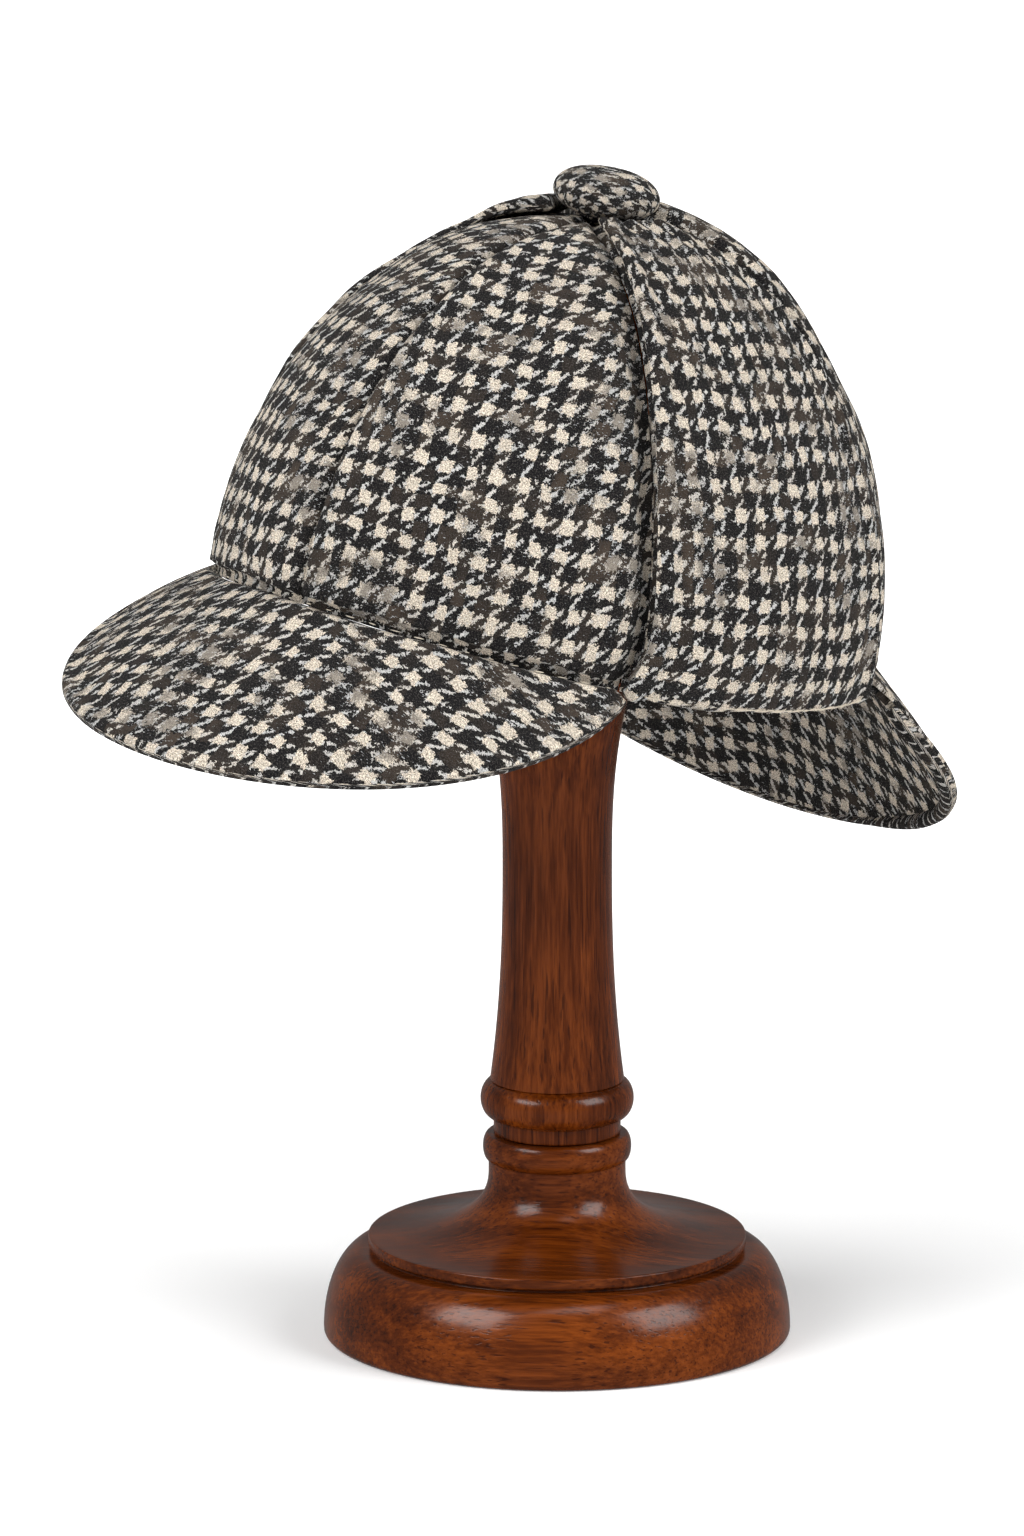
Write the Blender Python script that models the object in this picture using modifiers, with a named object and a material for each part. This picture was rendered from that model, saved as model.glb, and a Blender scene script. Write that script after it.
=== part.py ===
"""A houndstooth deerstalker hat, its ear flaps folded up, on the turned wood stand that it rests on.

Metres, +Z up. The origin is the centre of the stand's foot, on the surface that it stands on. The hat's
front faces -Y and the wearer's left is +X. The hat sits tilted back and a little to its left, so its
pieces are built in the hat's own frame (origin at the middle of the head opening) and placed by one empty.
"""

import math
from collections import namedtuple

import bmesh
import bpy
from mathutils import Euler, Matrix, Vector

MM = 0.001

# Stand
FOOT_RADIUS = 65.0 * MM
FOOT_EDGE_ROUND = 2.0 * MM
FOOT_EDGE_START_DEG = -45.0
FOOT_SIDE_HEIGHT = 25.5 * MM
FOOT_SHOULDER_RADIUS = 54.6 * MM
STEP_RADIUS = 53.2 * MM
STEP_HEIGHT = 3.0 * MM
STEP_GROOVE_DEPTH = 1.4 * MM
STEP_GROOVE_WIDTH = 1.2 * MM
FLARE_HEIGHT = 18.0 * MM
FLARE_SPREAD_POWER = 1.25
FLARE_FALL_POWER = 0.8
BASE_NECK_RADIUS = 19.3 * MM
BASE_NECK_LENGTH = 3.0 * MM
LOWER_BEAD_RADIUS = 20.4 * MM
LOWER_BEAD_LENGTH = 7.6 * MM
UPPER_BEAD_RADIUS = 21.6 * MM
UPPER_BEAD_LENGTH = 12.4 * MM
BEAD_NECK_RADIUS = 18.2 * MM
BEAD_NECK_LENGTH = 2.8 * MM
COLUMN_LENGTH = 117.0 * MM
COLUMN_FOOT_RADIUS = 18.5 * MM
COLUMN_WAIST_RADIUS = 15.0 * MM
COLUMN_TOP_RADIUS = 21.8 * MM
COLUMN_WAIST_SHARE = 0.53
COLUMN_FOOT_POWER = 2.4
COLUMN_TOP_POWER = 2.6
TENON_RADIUS = 9.0 * MM
TENON_LENGTH = 24.0 * MM
HEAD_RADIUS = 66.0 * MM
HEAD_EDGE_RADIUS = 60.0 * MM
HEAD_EDGE_ROUND = 4.0 * MM
HEAD_STEM_RADIUS = 21.0 * MM

# Hat
HAT_CENTRE = Vector((-1.9 * MM, -7.8 * MM, 210.4 * MM))
HAT_TILT_BACK_DEG = 9.2
HAT_TILT_LEFT_DEG = 5.3
CROWN_HALF_LENGTH = 102.0 * MM
CROWN_HALF_WIDTH = 89.0 * MM
CROWN_RISE = 112.0 * MM
CROWN_BACK_FULLNESS = 0.085
CROWN_BACK_ROUNDNESS = 0.12
CROWN_TOP_FORWARD = 2.0 * MM
CROWN_TOP_TO_LEFT = 1.0 * MM
RIM_WAVE = 5.0 * MM
CROWN_WALL = 2.5 * MM
PANEL_SEAM_DEPTH = 1.2 * MM
PANEL_SEAM_SHARPNESS = 6
PANEL_SEAM_FADE = 0.5
PANELS = 6

FRONT_PEAK_WIDTH = 65.0 * MM
FRONT_PEAK_SPAN_DEG = 122.5
FRONT_PEAK_SLOPE_DEG = 41.0
FRONT_PEAK_END_SLOPE_DEG = 36.0
FRONT_PEAK_POINTEDNESS = 0.91
REAR_PEAK_WIDTH = 66.0 * MM
REAR_PEAK_SPAN_DEG = 103.0
REAR_PEAK_SLOPE_DEG = 66.0
REAR_PEAK_END_SLOPE_DEG = 37.0
REAR_PEAK_POINTEDNESS = 0.38
PEAK_END_WIDTH = 4.0 * MM
PEAK_THICKNESS = 3.0 * MM
PEAK_TUCK = 1.5 * MM
PEAK_BULGE = 2.0 * MM

FLAP_SPAN_DEG = 57.0
LEFT_FLAP_TURN_DEG = 91.5
RIGHT_FLAP_TURN_DEG = -93.5
FLAP_THICKNESS = 3.2 * MM
FLAP_FOLD_INNER_RADIUS = 0.7 * MM
FLAP_TIP_STANDOFF = 0.5 * MM
FLAP_TIP_RADIUS = 12.5 * MM
FLAP_CLOSING_POWER = 4
FLAP_LIP = 2.2 * MM

BUTTON_RADIUS = 15.0 * MM
BUTTON_HEIGHT = 14.2 * MM
BUTTON_LIFT = 7.0 * MM
BUTTON_SHANK_RADIUS = 3.7 * MM
BUTTON_SHANK_LENGTH = 2.6 * MM

# Between touching pieces
GAP = 0.3 * MM
SEAM_GAP = 0.4 * MM
BUTTON_GAP = 0.6 * MM
HEAD_CLEARANCE = 0.8 * MM
AXIS_MERGE = 0.01 * MM

# Mesh fineness
STAND_SIDES = 36
BUTTON_SIDES = 24
BUTTON_STEPS = 12
FOLD_STEPS = 4
FOOT_STEPS = 6
BEAD_STEPS = 8
FLARE_STEPS = 8
DOME_STEPS = 8
COLUMN_STEPS = 10
PANEL_COLUMNS = (-1.0, -0.82, -0.42, 0.0, 0.42, 0.82, 1.0)
PANEL_ROWS = 12
PEAK_COLUMNS = 26
PEAK_ROWS = 5
FLAP_COLUMNS = 8
FLAP_ROWS = 11

# Steps in degrees for measuring the crown
RIM_STEP = 0.5
FIT_TURN_STEP = 5
FIT_LIFT_STEP = 4
FIT_LOWEST_LIFT = 10

MAHOGANY = (0.16, 0.045, 0.022)
MAHOGANY_ROUGHNESS = 0.35
TWEED = (0.22, 0.20, 0.18)
TWEED_ROUGHNESS = 0.9

Peak = namedtuple("Peak", "middle_turn span width slope end_slope pointedness")
PEAKS = {
    "front_peak": Peak(
        middle_turn=0.0,
        span=FRONT_PEAK_SPAN_DEG,
        width=FRONT_PEAK_WIDTH,
        slope=FRONT_PEAK_SLOPE_DEG,
        end_slope=FRONT_PEAK_END_SLOPE_DEG,
        pointedness=FRONT_PEAK_POINTEDNESS,
    ),
    "rear_peak": Peak(
        middle_turn=180.0,
        span=REAR_PEAK_SPAN_DEG,
        width=REAR_PEAK_WIDTH,
        slope=REAR_PEAK_SLOPE_DEG,
        end_slope=REAR_PEAK_END_SLOPE_DEG,
        pointedness=REAR_PEAK_POINTEDNESS,
    ),
}
FLAP_TURNS = {"ear_flap_left": LEFT_FLAP_TURN_DEG, "ear_flap_right": RIGHT_FLAP_TURN_DEG}


def clear_scene():
    for obj in list(bpy.data.objects):
        bpy.data.objects.remove(obj, do_unlink=True)


def plain_material(name, colour, roughness):
    material = bpy.data.materials.new(name)
    material.use_nodes = True
    shader = material.node_tree.nodes["Principled BSDF"]
    shader.inputs["Base Color"].default_value = (*colour, 1.0)
    shader.inputs["Roughness"].default_value = roughness
    shader.inputs["Metallic"].default_value = 0.0
    return material


def add_object(name, mesh, material, collection, parent=None):
    mesh.materials.append(material)
    obj = bpy.data.objects.new(name, mesh)
    obj.parent = parent
    collection.objects.link(obj)
    return obj


# Turned pieces: a profile of (radius, height) points, swept by a Screw modifier.


def arc(centre_radius, centre_height, radius, start_deg, end_deg, steps, stretch=1.0):
    """Points of an arc in the profile's plane; stretch widens it along the radius."""
    points = []
    for step in range(steps + 1):
        angle = math.radians(start_deg + (end_deg - start_deg) * step / steps)
        points.append(
            (
                centre_radius + stretch * radius * math.cos(angle),
                centre_height + radius * math.sin(angle),
            )
        )
    return points


def turned(name, profile, sides, material, collection, parent=None):
    """The profile starts on the axis, runs down the outer side and ends on the axis."""
    mesh = bpy.data.meshes.new(name)
    vertices = [(radius, 0.0, height) for radius, height in profile]
    edges = [(index, index + 1) for index in range(len(vertices) - 1)]
    mesh.from_pydata(vertices, edges, [])
    obj = add_object(name, mesh, material, collection, parent)
    screw = obj.modifiers.new("turn", "SCREW")
    screw.axis = "Z"
    screw.steps = sides
    screw.render_steps = sides
    screw.use_merge_vertices = True
    screw.merge_threshold = AXIS_MERGE
    screw.use_smooth_shade = True
    return obj


def bead(neck_radius, bead_radius, top, length):
    """A half-round bead, from its top to its bottom."""
    half = length / 2
    stretch = (bead_radius - neck_radius) / half
    return arc(neck_radius, top - half, half, 90.0, -90.0, BEAD_STEPS, stretch)


# Heights of the stand, from the foot up
STEP_TOP = FOOT_SIDE_HEIGHT + STEP_GROOVE_WIDTH + STEP_HEIGHT
FLARE_TOP = STEP_TOP + FLARE_HEIGHT
LOWER_BEAD_TOP = FLARE_TOP + BASE_NECK_LENGTH + LOWER_BEAD_LENGTH
COLUMN_BOTTOM = LOWER_BEAD_TOP + GAP
UPPER_BEAD_TOP = COLUMN_BOTTOM + BEAD_NECK_LENGTH + UPPER_BEAD_LENGTH
COLUMN_TOP = UPPER_BEAD_TOP + COLUMN_LENGTH
HEAD_BOTTOM = COLUMN_TOP + GAP


def foot_side():
    """The foot's bulging side, from its shoulder down to the rounded lower edge."""
    rise = FOOT_SIDE_HEIGHT - FOOT_EDGE_ROUND
    overhang = FOOT_RADIUS - FOOT_SHOULDER_RADIUS
    side = arc(
        FOOT_SHOULDER_RADIUS, FOOT_EDGE_ROUND, rise, 90.0, 0.0, FOOT_STEPS, overhang / rise
    )
    edge_centre = FOOT_RADIUS - FOOT_EDGE_ROUND
    lower_edge = arc(
        edge_centre, FOOT_EDGE_ROUND, FOOT_EDGE_ROUND, FOOT_EDGE_START_DEG, -90.0, 1
    )
    return side + lower_edge


def flare_side():
    """The hollow curve that falls from the neck and spreads out to the step's edge."""
    spread = STEP_RADIUS - BASE_NECK_RADIUS
    points = []
    for step in range(FLARE_STEPS + 1):
        angle = math.radians(90.0 * step / FLARE_STEPS)
        out = (1.0 - math.cos(angle)) ** FLARE_SPREAD_POWER
        fall = math.sin(angle) ** FLARE_FALL_POWER
        points.append((BASE_NECK_RADIUS + spread * out, FLARE_TOP - FLARE_HEIGHT * fall))
    return points


def make_base(material, collection):
    socket_radius = TENON_RADIUS + GAP
    socket_floor = COLUMN_BOTTOM - TENON_LENGTH - GAP
    groove_radius = STEP_RADIUS - STEP_GROOVE_DEPTH
    socket = [
        (0.0, socket_floor),
        (socket_radius, socket_floor),
        (socket_radius, LOWER_BEAD_TOP),
    ]
    step_edge = [
        (STEP_RADIUS, STEP_TOP - STEP_HEIGHT),
        (groove_radius, STEP_TOP - STEP_HEIGHT),
        (groove_radius, FOOT_SIDE_HEIGHT),
    ]
    lower_bead = bead(BASE_NECK_RADIUS, LOWER_BEAD_RADIUS, LOWER_BEAD_TOP, LOWER_BEAD_LENGTH)
    profile = socket + lower_bead + flare_side() + step_edge + foot_side() + [(0.0, 0.0)]
    return turned("stand_base", profile, STAND_SIDES, material, collection)


def column_radius(share):
    """The waisted spindle's radius, at a share of its length from its foot."""
    if share < COLUMN_WAIST_SHARE:
        reach = (COLUMN_WAIST_SHARE - share) / COLUMN_WAIST_SHARE
        swell = COLUMN_FOOT_RADIUS - COLUMN_WAIST_RADIUS
        return COLUMN_WAIST_RADIUS + swell * reach**COLUMN_FOOT_POWER
    reach = (share - COLUMN_WAIST_SHARE) / (1.0 - COLUMN_WAIST_SHARE)
    swell = COLUMN_TOP_RADIUS - COLUMN_WAIST_RADIUS
    return COLUMN_WAIST_RADIUS + swell * reach**COLUMN_TOP_POWER


def make_column(material, collection):
    profile = [
        (0.0, COLUMN_TOP + TENON_LENGTH),
        (TENON_RADIUS, COLUMN_TOP + TENON_LENGTH),
        (TENON_RADIUS, COLUMN_TOP),
    ]
    for step in range(COLUMN_STEPS, -1, -1):
        share = step / COLUMN_STEPS
        profile.append((column_radius(share), UPPER_BEAD_TOP + COLUMN_LENGTH * share))
    profile += bead(BEAD_NECK_RADIUS, UPPER_BEAD_RADIUS, UPPER_BEAD_TOP, UPPER_BEAD_LENGTH)
    profile += [
        (BEAD_NECK_RADIUS, COLUMN_BOTTOM),
        (TENON_RADIUS, COLUMN_BOTTOM),
        (TENON_RADIUS, COLUMN_BOTTOM - TENON_LENGTH),
        (0.0, COLUMN_BOTTOM - TENON_LENGTH),
    ]
    return turned("stand_column", profile, STAND_SIDES, material, collection)


def head_centre_height(placement):
    """The highest that the round head's centre can be inside the crown with HEAD_CLEARANCE all round."""
    reach = HEAD_RADIUS + HEAD_CLEARANCE
    highest = HAT_CENTRE.z + CROWN_RISE
    for turn in range(0, 360, FIT_TURN_STEP):
        for lift in range(FIT_LOWEST_LIFT, 90, FIT_LIFT_STEP):
            inside = placement @ crown_point(turn, lift, -CROWN_WALL - seam_dip(turn, lift))
            across = math.hypot(inside.x, inside.y)
            if across < reach:
                highest = min(highest, inside.z - math.sqrt(reach**2 - across**2))
    return highest


def make_head(placement, material, collection):
    """A plain mushroom head: a round dome on a stem, with a socket for the column's tenon."""
    centre = head_centre_height(placement)
    edge_height = centre + math.sqrt(HEAD_RADIUS**2 - HEAD_EDGE_RADIUS**2)
    edge_deg = math.degrees(math.atan2(edge_height - centre, HEAD_EDGE_RADIUS))
    dome = arc(0.0, centre, HEAD_RADIUS, 90.0, edge_deg, DOME_STEPS)
    underside = edge_height - HEAD_EDGE_ROUND
    profile = dome + [
        (HEAD_EDGE_RADIUS - HEAD_EDGE_ROUND, underside),
        (HEAD_STEM_RADIUS + HEAD_EDGE_ROUND, underside),
        (HEAD_STEM_RADIUS, underside - HEAD_EDGE_ROUND),
        (HEAD_STEM_RADIUS, HEAD_BOTTOM),
        (TENON_RADIUS + GAP, HEAD_BOTTOM),
        (TENON_RADIUS + GAP, COLUMN_TOP + TENON_LENGTH + GAP),
        (0.0, COLUMN_TOP + TENON_LENGTH + GAP),
    ]
    return turned("stand_head", profile, STAND_SIDES, material, collection)


# The hat: surfaces on the crown's egg-shaped dome, thickened by a Solidify modifier.


def crown_point(turn, lift, proud=0.0):
    """A point on the crown: turn degrees round from the front towards the wearer's left, lift degrees
    up from the rim to the top at 90, and proud of the crown's outer face by a distance."""
    round_angle = math.radians(turn)
    lift_angle = math.radians(lift)
    to_back = (1.0 - math.cos(round_angle)) / 2.0
    spread = math.cos(lift_angle) ** (1.0 - CROWN_BACK_ROUNDNESS * to_back)
    climb = math.sin(lift_angle)
    fullness = 1.0 - CROWN_BACK_FULLNESS * math.cos(round_angle)
    wave = RIM_WAVE * math.cos(2.0 * round_angle) * spread**2
    return Vector(
        (
            (CROWN_HALF_WIDTH + proud) * math.sin(round_angle) * fullness * spread
            + CROWN_TOP_TO_LEFT * climb,
            -(CROWN_HALF_LENGTH + proud) * math.cos(round_angle) * spread - CROWN_TOP_FORWARD * climb,
            (CROWN_RISE + proud) * climb + wave,
        )
    )


def seam_dip(turn, lift):
    """How far the cloth is drawn in near a panel seam, fading out towards the crown's top."""
    half_turn = 180.0 / PANELS
    across = abs(turn % (2.0 * half_turn) - half_turn) / half_turn
    fade = math.cos(math.radians(lift)) ** PANEL_SEAM_FADE
    return PANEL_SEAM_DEPTH * across**PANEL_SEAM_SHARPNESS * fade


def lift_at_radius(radius):
    """The lift in degrees at which the crown's side is this far from its top, seen from above."""
    return math.degrees(math.acos(radius / CROWN_HALF_WIDTH))


def outward(turn):
    """The level direction straight out from the rim."""
    ahead = crown_point(turn + RIM_STEP, 0.0) - crown_point(turn - RIM_STEP, 0.0)
    return Vector((ahead.y, -ahead.x, 0.0)).normalized()


def surface_mesh(name, rows):
    """An open surface from rows of points; faces turn outwards when the rows climb and the points go
    round from the front to the left."""
    mesh = bmesh.new()
    grid = [[mesh.verts.new(point) for point in row] for row in rows]
    for lower, upper in zip(grid, grid[1:]):
        for index in range(len(lower) - 1):
            mesh.faces.new((lower[index], lower[index + 1], upper[index + 1], upper[index]))
    result = bpy.data.meshes.new(name)
    mesh.to_mesh(result)
    mesh.free()
    result.shade_smooth()
    return result


def thicken(obj, thickness):
    """Gives the surface a wall on its inner side."""
    solidify = obj.modifiers.new("wall", "SOLIDIFY")
    solidify.thickness = thickness
    solidify.offset = -1.0
    solidify.use_even_offset = True
    return obj


def panel_rows(seam_turn):
    """One crown panel, from the rim to the hole for the button's shank. It dips at its seams."""
    half_turn = 180.0 / PANELS
    top_lift = lift_at_radius(BUTTON_SHANK_RADIUS + BUTTON_GAP)
    rows = []
    for row in range(PANEL_ROWS + 1):
        lift = top_lift * row / PANEL_ROWS
        local_radius = math.cos(math.radians(lift)) * CROWN_HALF_WIDTH
        gap_turn = math.degrees(SEAM_GAP / 2 / local_radius)
        line = []
        for across in PANEL_COLUMNS:
            turn = seam_turn + half_turn + across * (half_turn - gap_turn)
            line.append(crown_point(turn, lift, -seam_dip(turn, lift)))
        rows.append(line)
    return rows


def make_crown(material, collection, parent):
    places = ("front", "side", "back")
    step = 360.0 / PANELS
    for index in range(PANELS):
        on_left = index < PANELS // 2
        place = places[index] if on_left else places[PANELS - 1 - index]
        name = f"crown_panel_{place}_{'left' if on_left else 'right'}"
        mesh = surface_mesh(name, panel_rows(index * step))
        thicken(add_object(name, mesh, material, collection, parent), CROWN_WALL)


def peak_rows(peak):
    """A crescent peak, from its outer edge in to the rim, where it tucks under the crown's edge."""
    rows = []
    for row in range(PEAK_ROWS, -1, -1):
        share = row / PEAK_ROWS
        line = []
        for column in range(PEAK_COLUMNS + 1):
            across = 2.0 * column / PEAK_COLUMNS - 1.0
            turn = peak.middle_turn + across * peak.span / 2
            slope = math.radians(peak.slope + (peak.end_slope - peak.slope) * across**2)
            widening = (1.0 - across**2) ** peak.pointedness
            full = PEAK_END_WIDTH + (peak.width - PEAK_END_WIDTH) * widening
            along = full * share + PEAK_TUCK
            out = outward(turn)
            seat = crown_point(turn, 0.0) - out * PEAK_TUCK - Vector((0.0, 0.0, GAP))
            run = out * math.cos(slope) - Vector((0.0, 0.0, math.sin(slope)))
            up = out * math.sin(slope) + Vector((0.0, 0.0, math.cos(slope)))
            bulge = PEAK_BULGE * (full / peak.width) * 4.0 * share * (1.0 - share)
            line.append(seat + run * (along if row else 0.0) + up * bulge)
        rows.append(line)
    return rows


def make_peaks(material, collection, parent):
    for name, peak in PEAKS.items():
        mesh = surface_mesh(name, peak_rows(peak))
        thicken(add_object(name, mesh, material, collection, parent), PEAK_THICKNESS)


def flap_rows(middle_turn):
    """An ear flap: a lip under the rim, the fold round it, and the leaf that lies up against the crown."""
    standoff = FLAP_FOLD_INNER_RADIUS + GAP
    fold_radius = FLAP_FOLD_INNER_RADIUS + FLAP_THICKNESS
    underside = -GAP - FLAP_THICKNESS
    fold = [(-FLAP_LIP, underside)]
    fold += arc(GAP, underside + fold_radius, fold_radius, -90.0, 0.0, FOLD_STEPS)
    rows = []
    for proud, height in fold:
        rows.append([(0.0, proud, height)] * (FLAP_COLUMNS + 1))
    first_lift = math.degrees(math.asin(fold[-1][1] / CROWN_RISE))
    top_lift = lift_at_radius(FLAP_TIP_RADIUS)
    for row in range(1, FLAP_ROWS + 1):
        share = row / FLAP_ROWS
        lift = first_lift + (top_lift - first_lift) * share
        clearance = standoff + (FLAP_TIP_STANDOFF - standoff) * share**FLAP_CLOSING_POWER
        rows.append([(lift, clearance + FLAP_THICKNESS, 0.0)] * (FLAP_COLUMNS + 1))
    result = []
    for row in rows:
        line = []
        for column, (lift, proud, height) in enumerate(row):
            across = 2.0 * column / FLAP_COLUMNS - 1.0
            turn = middle_turn + across * FLAP_SPAN_DEG / 2
            line.append(crown_point(turn, lift, proud) + Vector((0.0, 0.0, height)))
        result.append(line)
    return result


def make_flaps(material, collection, parent):
    for name, middle_turn in FLAP_TURNS.items():
        mesh = surface_mesh(name, flap_rows(middle_turn))
        thicken(add_object(name, mesh, material, collection, parent), FLAP_THICKNESS)


def make_button(material, collection, parent):
    """A flattened round button, cut flat below, with a shank in the hole at the crown's top."""
    half = BUTTON_HEIGHT / 2
    cut_deg = -math.degrees(math.asin((BUTTON_LIFT - BUTTON_GAP) / half))
    stretch = BUTTON_RADIUS / half
    profile = arc(0.0, BUTTON_LIFT, half, 90.0, cut_deg, BUTTON_STEPS, stretch)
    profile += [
        (BUTTON_SHANK_RADIUS, BUTTON_GAP),
        (BUTTON_SHANK_RADIUS, -BUTTON_SHANK_LENGTH),
        (0.0, -BUTTON_SHANK_LENGTH),
    ]
    button = turned("crown_button", profile, BUTTON_SIDES, material, collection, parent)
    button.location = crown_point(0.0, 90.0)
    return button


def main():
    clear_scene()
    collection = bpy.data.collections.new("deerstalker_hat_on_stand")
    bpy.context.scene.collection.children.link(collection)
    wood = plain_material("mahogany", MAHOGANY, MAHOGANY_ROUGHNESS)
    tweed = plain_material("tweed", TWEED, TWEED_ROUGHNESS)

    seat = bpy.data.objects.new("hat_seat", None)
    collection.objects.link(seat)
    tilt = Euler((-math.radians(HAT_TILT_BACK_DEG), math.radians(HAT_TILT_LEFT_DEG), 0.0))
    seat.location = HAT_CENTRE
    seat.rotation_euler = tilt
    placement = Matrix.Translation(HAT_CENTRE) @ tilt.to_matrix().to_4x4()

    make_base(wood, collection)
    make_column(wood, collection)
    make_head(placement, wood, collection)
    make_crown(tweed, collection, seat)
    make_peaks(tweed, collection, seat)
    make_flaps(tweed, collection, seat)
    make_button(tweed, collection, seat)


main()
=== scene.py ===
# %% [markdown]
# # A houndstooth deerstalker on its turned stand
#
# This notebook dresses a plain model of a hat on a stand. The plain model has the right sizes and the
# right places, but no cloth and no wood. Each step below makes one real thing: a crown panel, a peak, an
# ear flap, the button, the turned stand, and the two finishes, tweed and mahogany.
#
# The first step loads the plain model. It stays where it is, and every new piece is fitted to it.

# %% Load the plain model
import math

import bpy
import numpy as np
from mathutils import Euler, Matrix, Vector, noise


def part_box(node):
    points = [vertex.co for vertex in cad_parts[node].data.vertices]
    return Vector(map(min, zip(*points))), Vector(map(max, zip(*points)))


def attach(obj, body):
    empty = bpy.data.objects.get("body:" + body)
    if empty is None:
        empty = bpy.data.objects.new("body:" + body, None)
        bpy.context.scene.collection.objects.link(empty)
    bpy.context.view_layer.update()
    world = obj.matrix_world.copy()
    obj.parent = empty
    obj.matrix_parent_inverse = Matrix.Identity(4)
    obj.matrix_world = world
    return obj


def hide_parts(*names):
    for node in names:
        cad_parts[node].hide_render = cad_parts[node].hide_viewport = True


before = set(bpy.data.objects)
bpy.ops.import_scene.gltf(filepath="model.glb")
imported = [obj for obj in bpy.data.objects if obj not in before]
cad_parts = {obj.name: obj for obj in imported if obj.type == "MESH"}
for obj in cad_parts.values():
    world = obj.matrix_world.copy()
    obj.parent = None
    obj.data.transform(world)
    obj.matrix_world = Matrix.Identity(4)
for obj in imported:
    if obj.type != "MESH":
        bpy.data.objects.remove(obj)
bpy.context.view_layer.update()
MM = 0.001

# %% [markdown]
# ## The camera
#
# The photograph was taken from far away with a long lens, a little above the hat and to its left front.
# A long lens keeps the stand's column nearly parallel. The camera looks at a point inside the hat, and its
# direction is given by two angles, as a photographer would give them: how far round, and how high up.

# %% Camera
CAMERA_ROUND_DEG = 41.86
CAMERA_UP_DEG = 13.15
CAMERA_DISTANCE = 5.0
CAMERA_AIM_RIGHT = -12.7 * MM
CAMERA_AIM_HEIGHT = 163.4 * MM
SENSOR = 36.0
FOCAL_SHARE = 17845.0 / 1536.0


def direction_at(round_deg, up_deg):
    """The way from the hat to a place so many degrees round from the front, and so many up."""
    turn = math.radians(round_deg)
    up = math.radians(up_deg)
    return Vector((math.sin(turn) * math.cos(up), -math.cos(turn) * math.cos(up), math.sin(up)))


def aimed(data, place, direction):
    """Puts a camera or a light at a place, looking against the direction."""
    thing = bpy.data.objects.new(data.name, data)
    bpy.context.scene.collection.objects.link(thing)
    thing.location = place
    thing.rotation_euler = direction.to_track_quat("Z", "Y").to_euler()
    return thing


camera_data = bpy.data.cameras.new("camera")
camera_data.lens = FOCAL_SHARE * SENSOR
camera_data.sensor_width = SENSOR
camera_data.clip_end = 100.0
to_camera = direction_at(CAMERA_ROUND_DEG, CAMERA_UP_DEG)
camera_round = math.radians(CAMERA_ROUND_DEG)
to_right = Vector((math.cos(camera_round), math.sin(camera_round), 0.0))
aim = to_right * CAMERA_AIM_RIGHT + Vector((0.0, 0.0, CAMERA_AIM_HEIGHT))
bpy.context.scene.camera = aimed(camera_data, aim + to_camera * CAMERA_DISTANCE, to_camera)
print("lens in mm:", round(camera_data.lens, 1))

# %% [markdown]
# ## A short way to write nodes
#
# The floor, both finishes, the button, the turned edges and the stitches are made of nodes. One helper adds
# a node and fills its inputs, each with a number or with another node's output. A second one makes a Math
# node and returns its result, so that a formula can be read from left to right. It works in material trees
# and in geometry trees, because both use the same Math node.

# %% Node helpers


def fill_sockets(sockets, values):
    """Sets each named socket to a value, or links it to another node's output."""
    for key, value in values.items():
        socket = sockets[key]
        if isinstance(value, bpy.types.NodeSocket):
            value.id_data.links.new(value, socket)
        elif socket.type == "RGBA":
            socket.default_value = (*value, 1.0)
        else:
            socket.default_value = value


def add_node(tree, kind, values, **settings):
    """A new node with its settings, such as operation, and then its inputs."""
    node = tree.nodes.new(kind)
    for name, setting in settings.items():
        setattr(node, name, setting)
    fill_sockets(node.inputs, values)
    return node


def tree_of(*values):
    return next(value.id_data for value in values if isinstance(value, bpy.types.NodeSocket))


def calc(operation, *values):
    """One Math node. A value is a number or another node's output."""
    inputs = dict(enumerate(values))
    return add_node(tree_of(*values), "ShaderNodeMath", inputs, operation=operation).outputs[0]


def blend_colour(share, first, second, blend_type="MIX"):
    """The first colour where share is 0, the second where it is 1."""
    tree = tree_of(share, first, second)
    inputs = {0: share, 6: first, 7: second}
    node = add_node(tree, "ShaderNodeMix", inputs, data_type="RGBA", blend_type=blend_type)
    return node.outputs[2]


def noise_pattern(vector, scale, detail=2.0, roughness=0.5):
    inputs = {"Vector": vector, "Scale": scale, "Detail": detail, "Roughness": roughness}
    return add_node(vector.id_data, "ShaderNodeTexNoise", inputs)


def smooth_range(value, low, high, to_low=0.0, to_high=1.0):
    """Turns a range of values smoothly into another one."""
    inputs = {"Value": value, "From Min": low, "From Max": high, "To Min": to_low, "To Max": to_high}
    node = add_node(value.id_data, "ShaderNodeMapRange", inputs, interpolation_type="SMOOTHSTEP")
    return node.outputs["Result"]


def mapped(vector, **inputs):
    """A vector that is moved, turned or stretched."""
    return add_node(vector.id_data, "ShaderNodeMapping", {"Vector": vector, **inputs}).outputs["Vector"]


def bumped(height, strength, distance):
    inputs = {"Height": height, "Strength": strength, "Distance": distance}
    return add_node(height.id_data, "ShaderNodeBump", inputs).outputs["Normal"]


def empty_material(name):
    material = bpy.data.materials.new(name)
    material.use_nodes = True
    return material, material.node_tree, material.node_tree.nodes["Principled BSDF"]


# %% [markdown]
# ## Light and floor
#
# The picture is a studio shot: a white sweep, one large soft light at the left front, a second one at the
# right, and a weak one overhead. Large area lights give soft shadows. The world is plain white and fills
# the shadows. The floor is one big white sheet that runs out of the picture, so no horizon shows. It glows
# a little, more with the distance, so that it stays white where the lamps no longer reach. The lacquer
# doesn't mirror it, so that the wood keeps its deep red.

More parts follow.
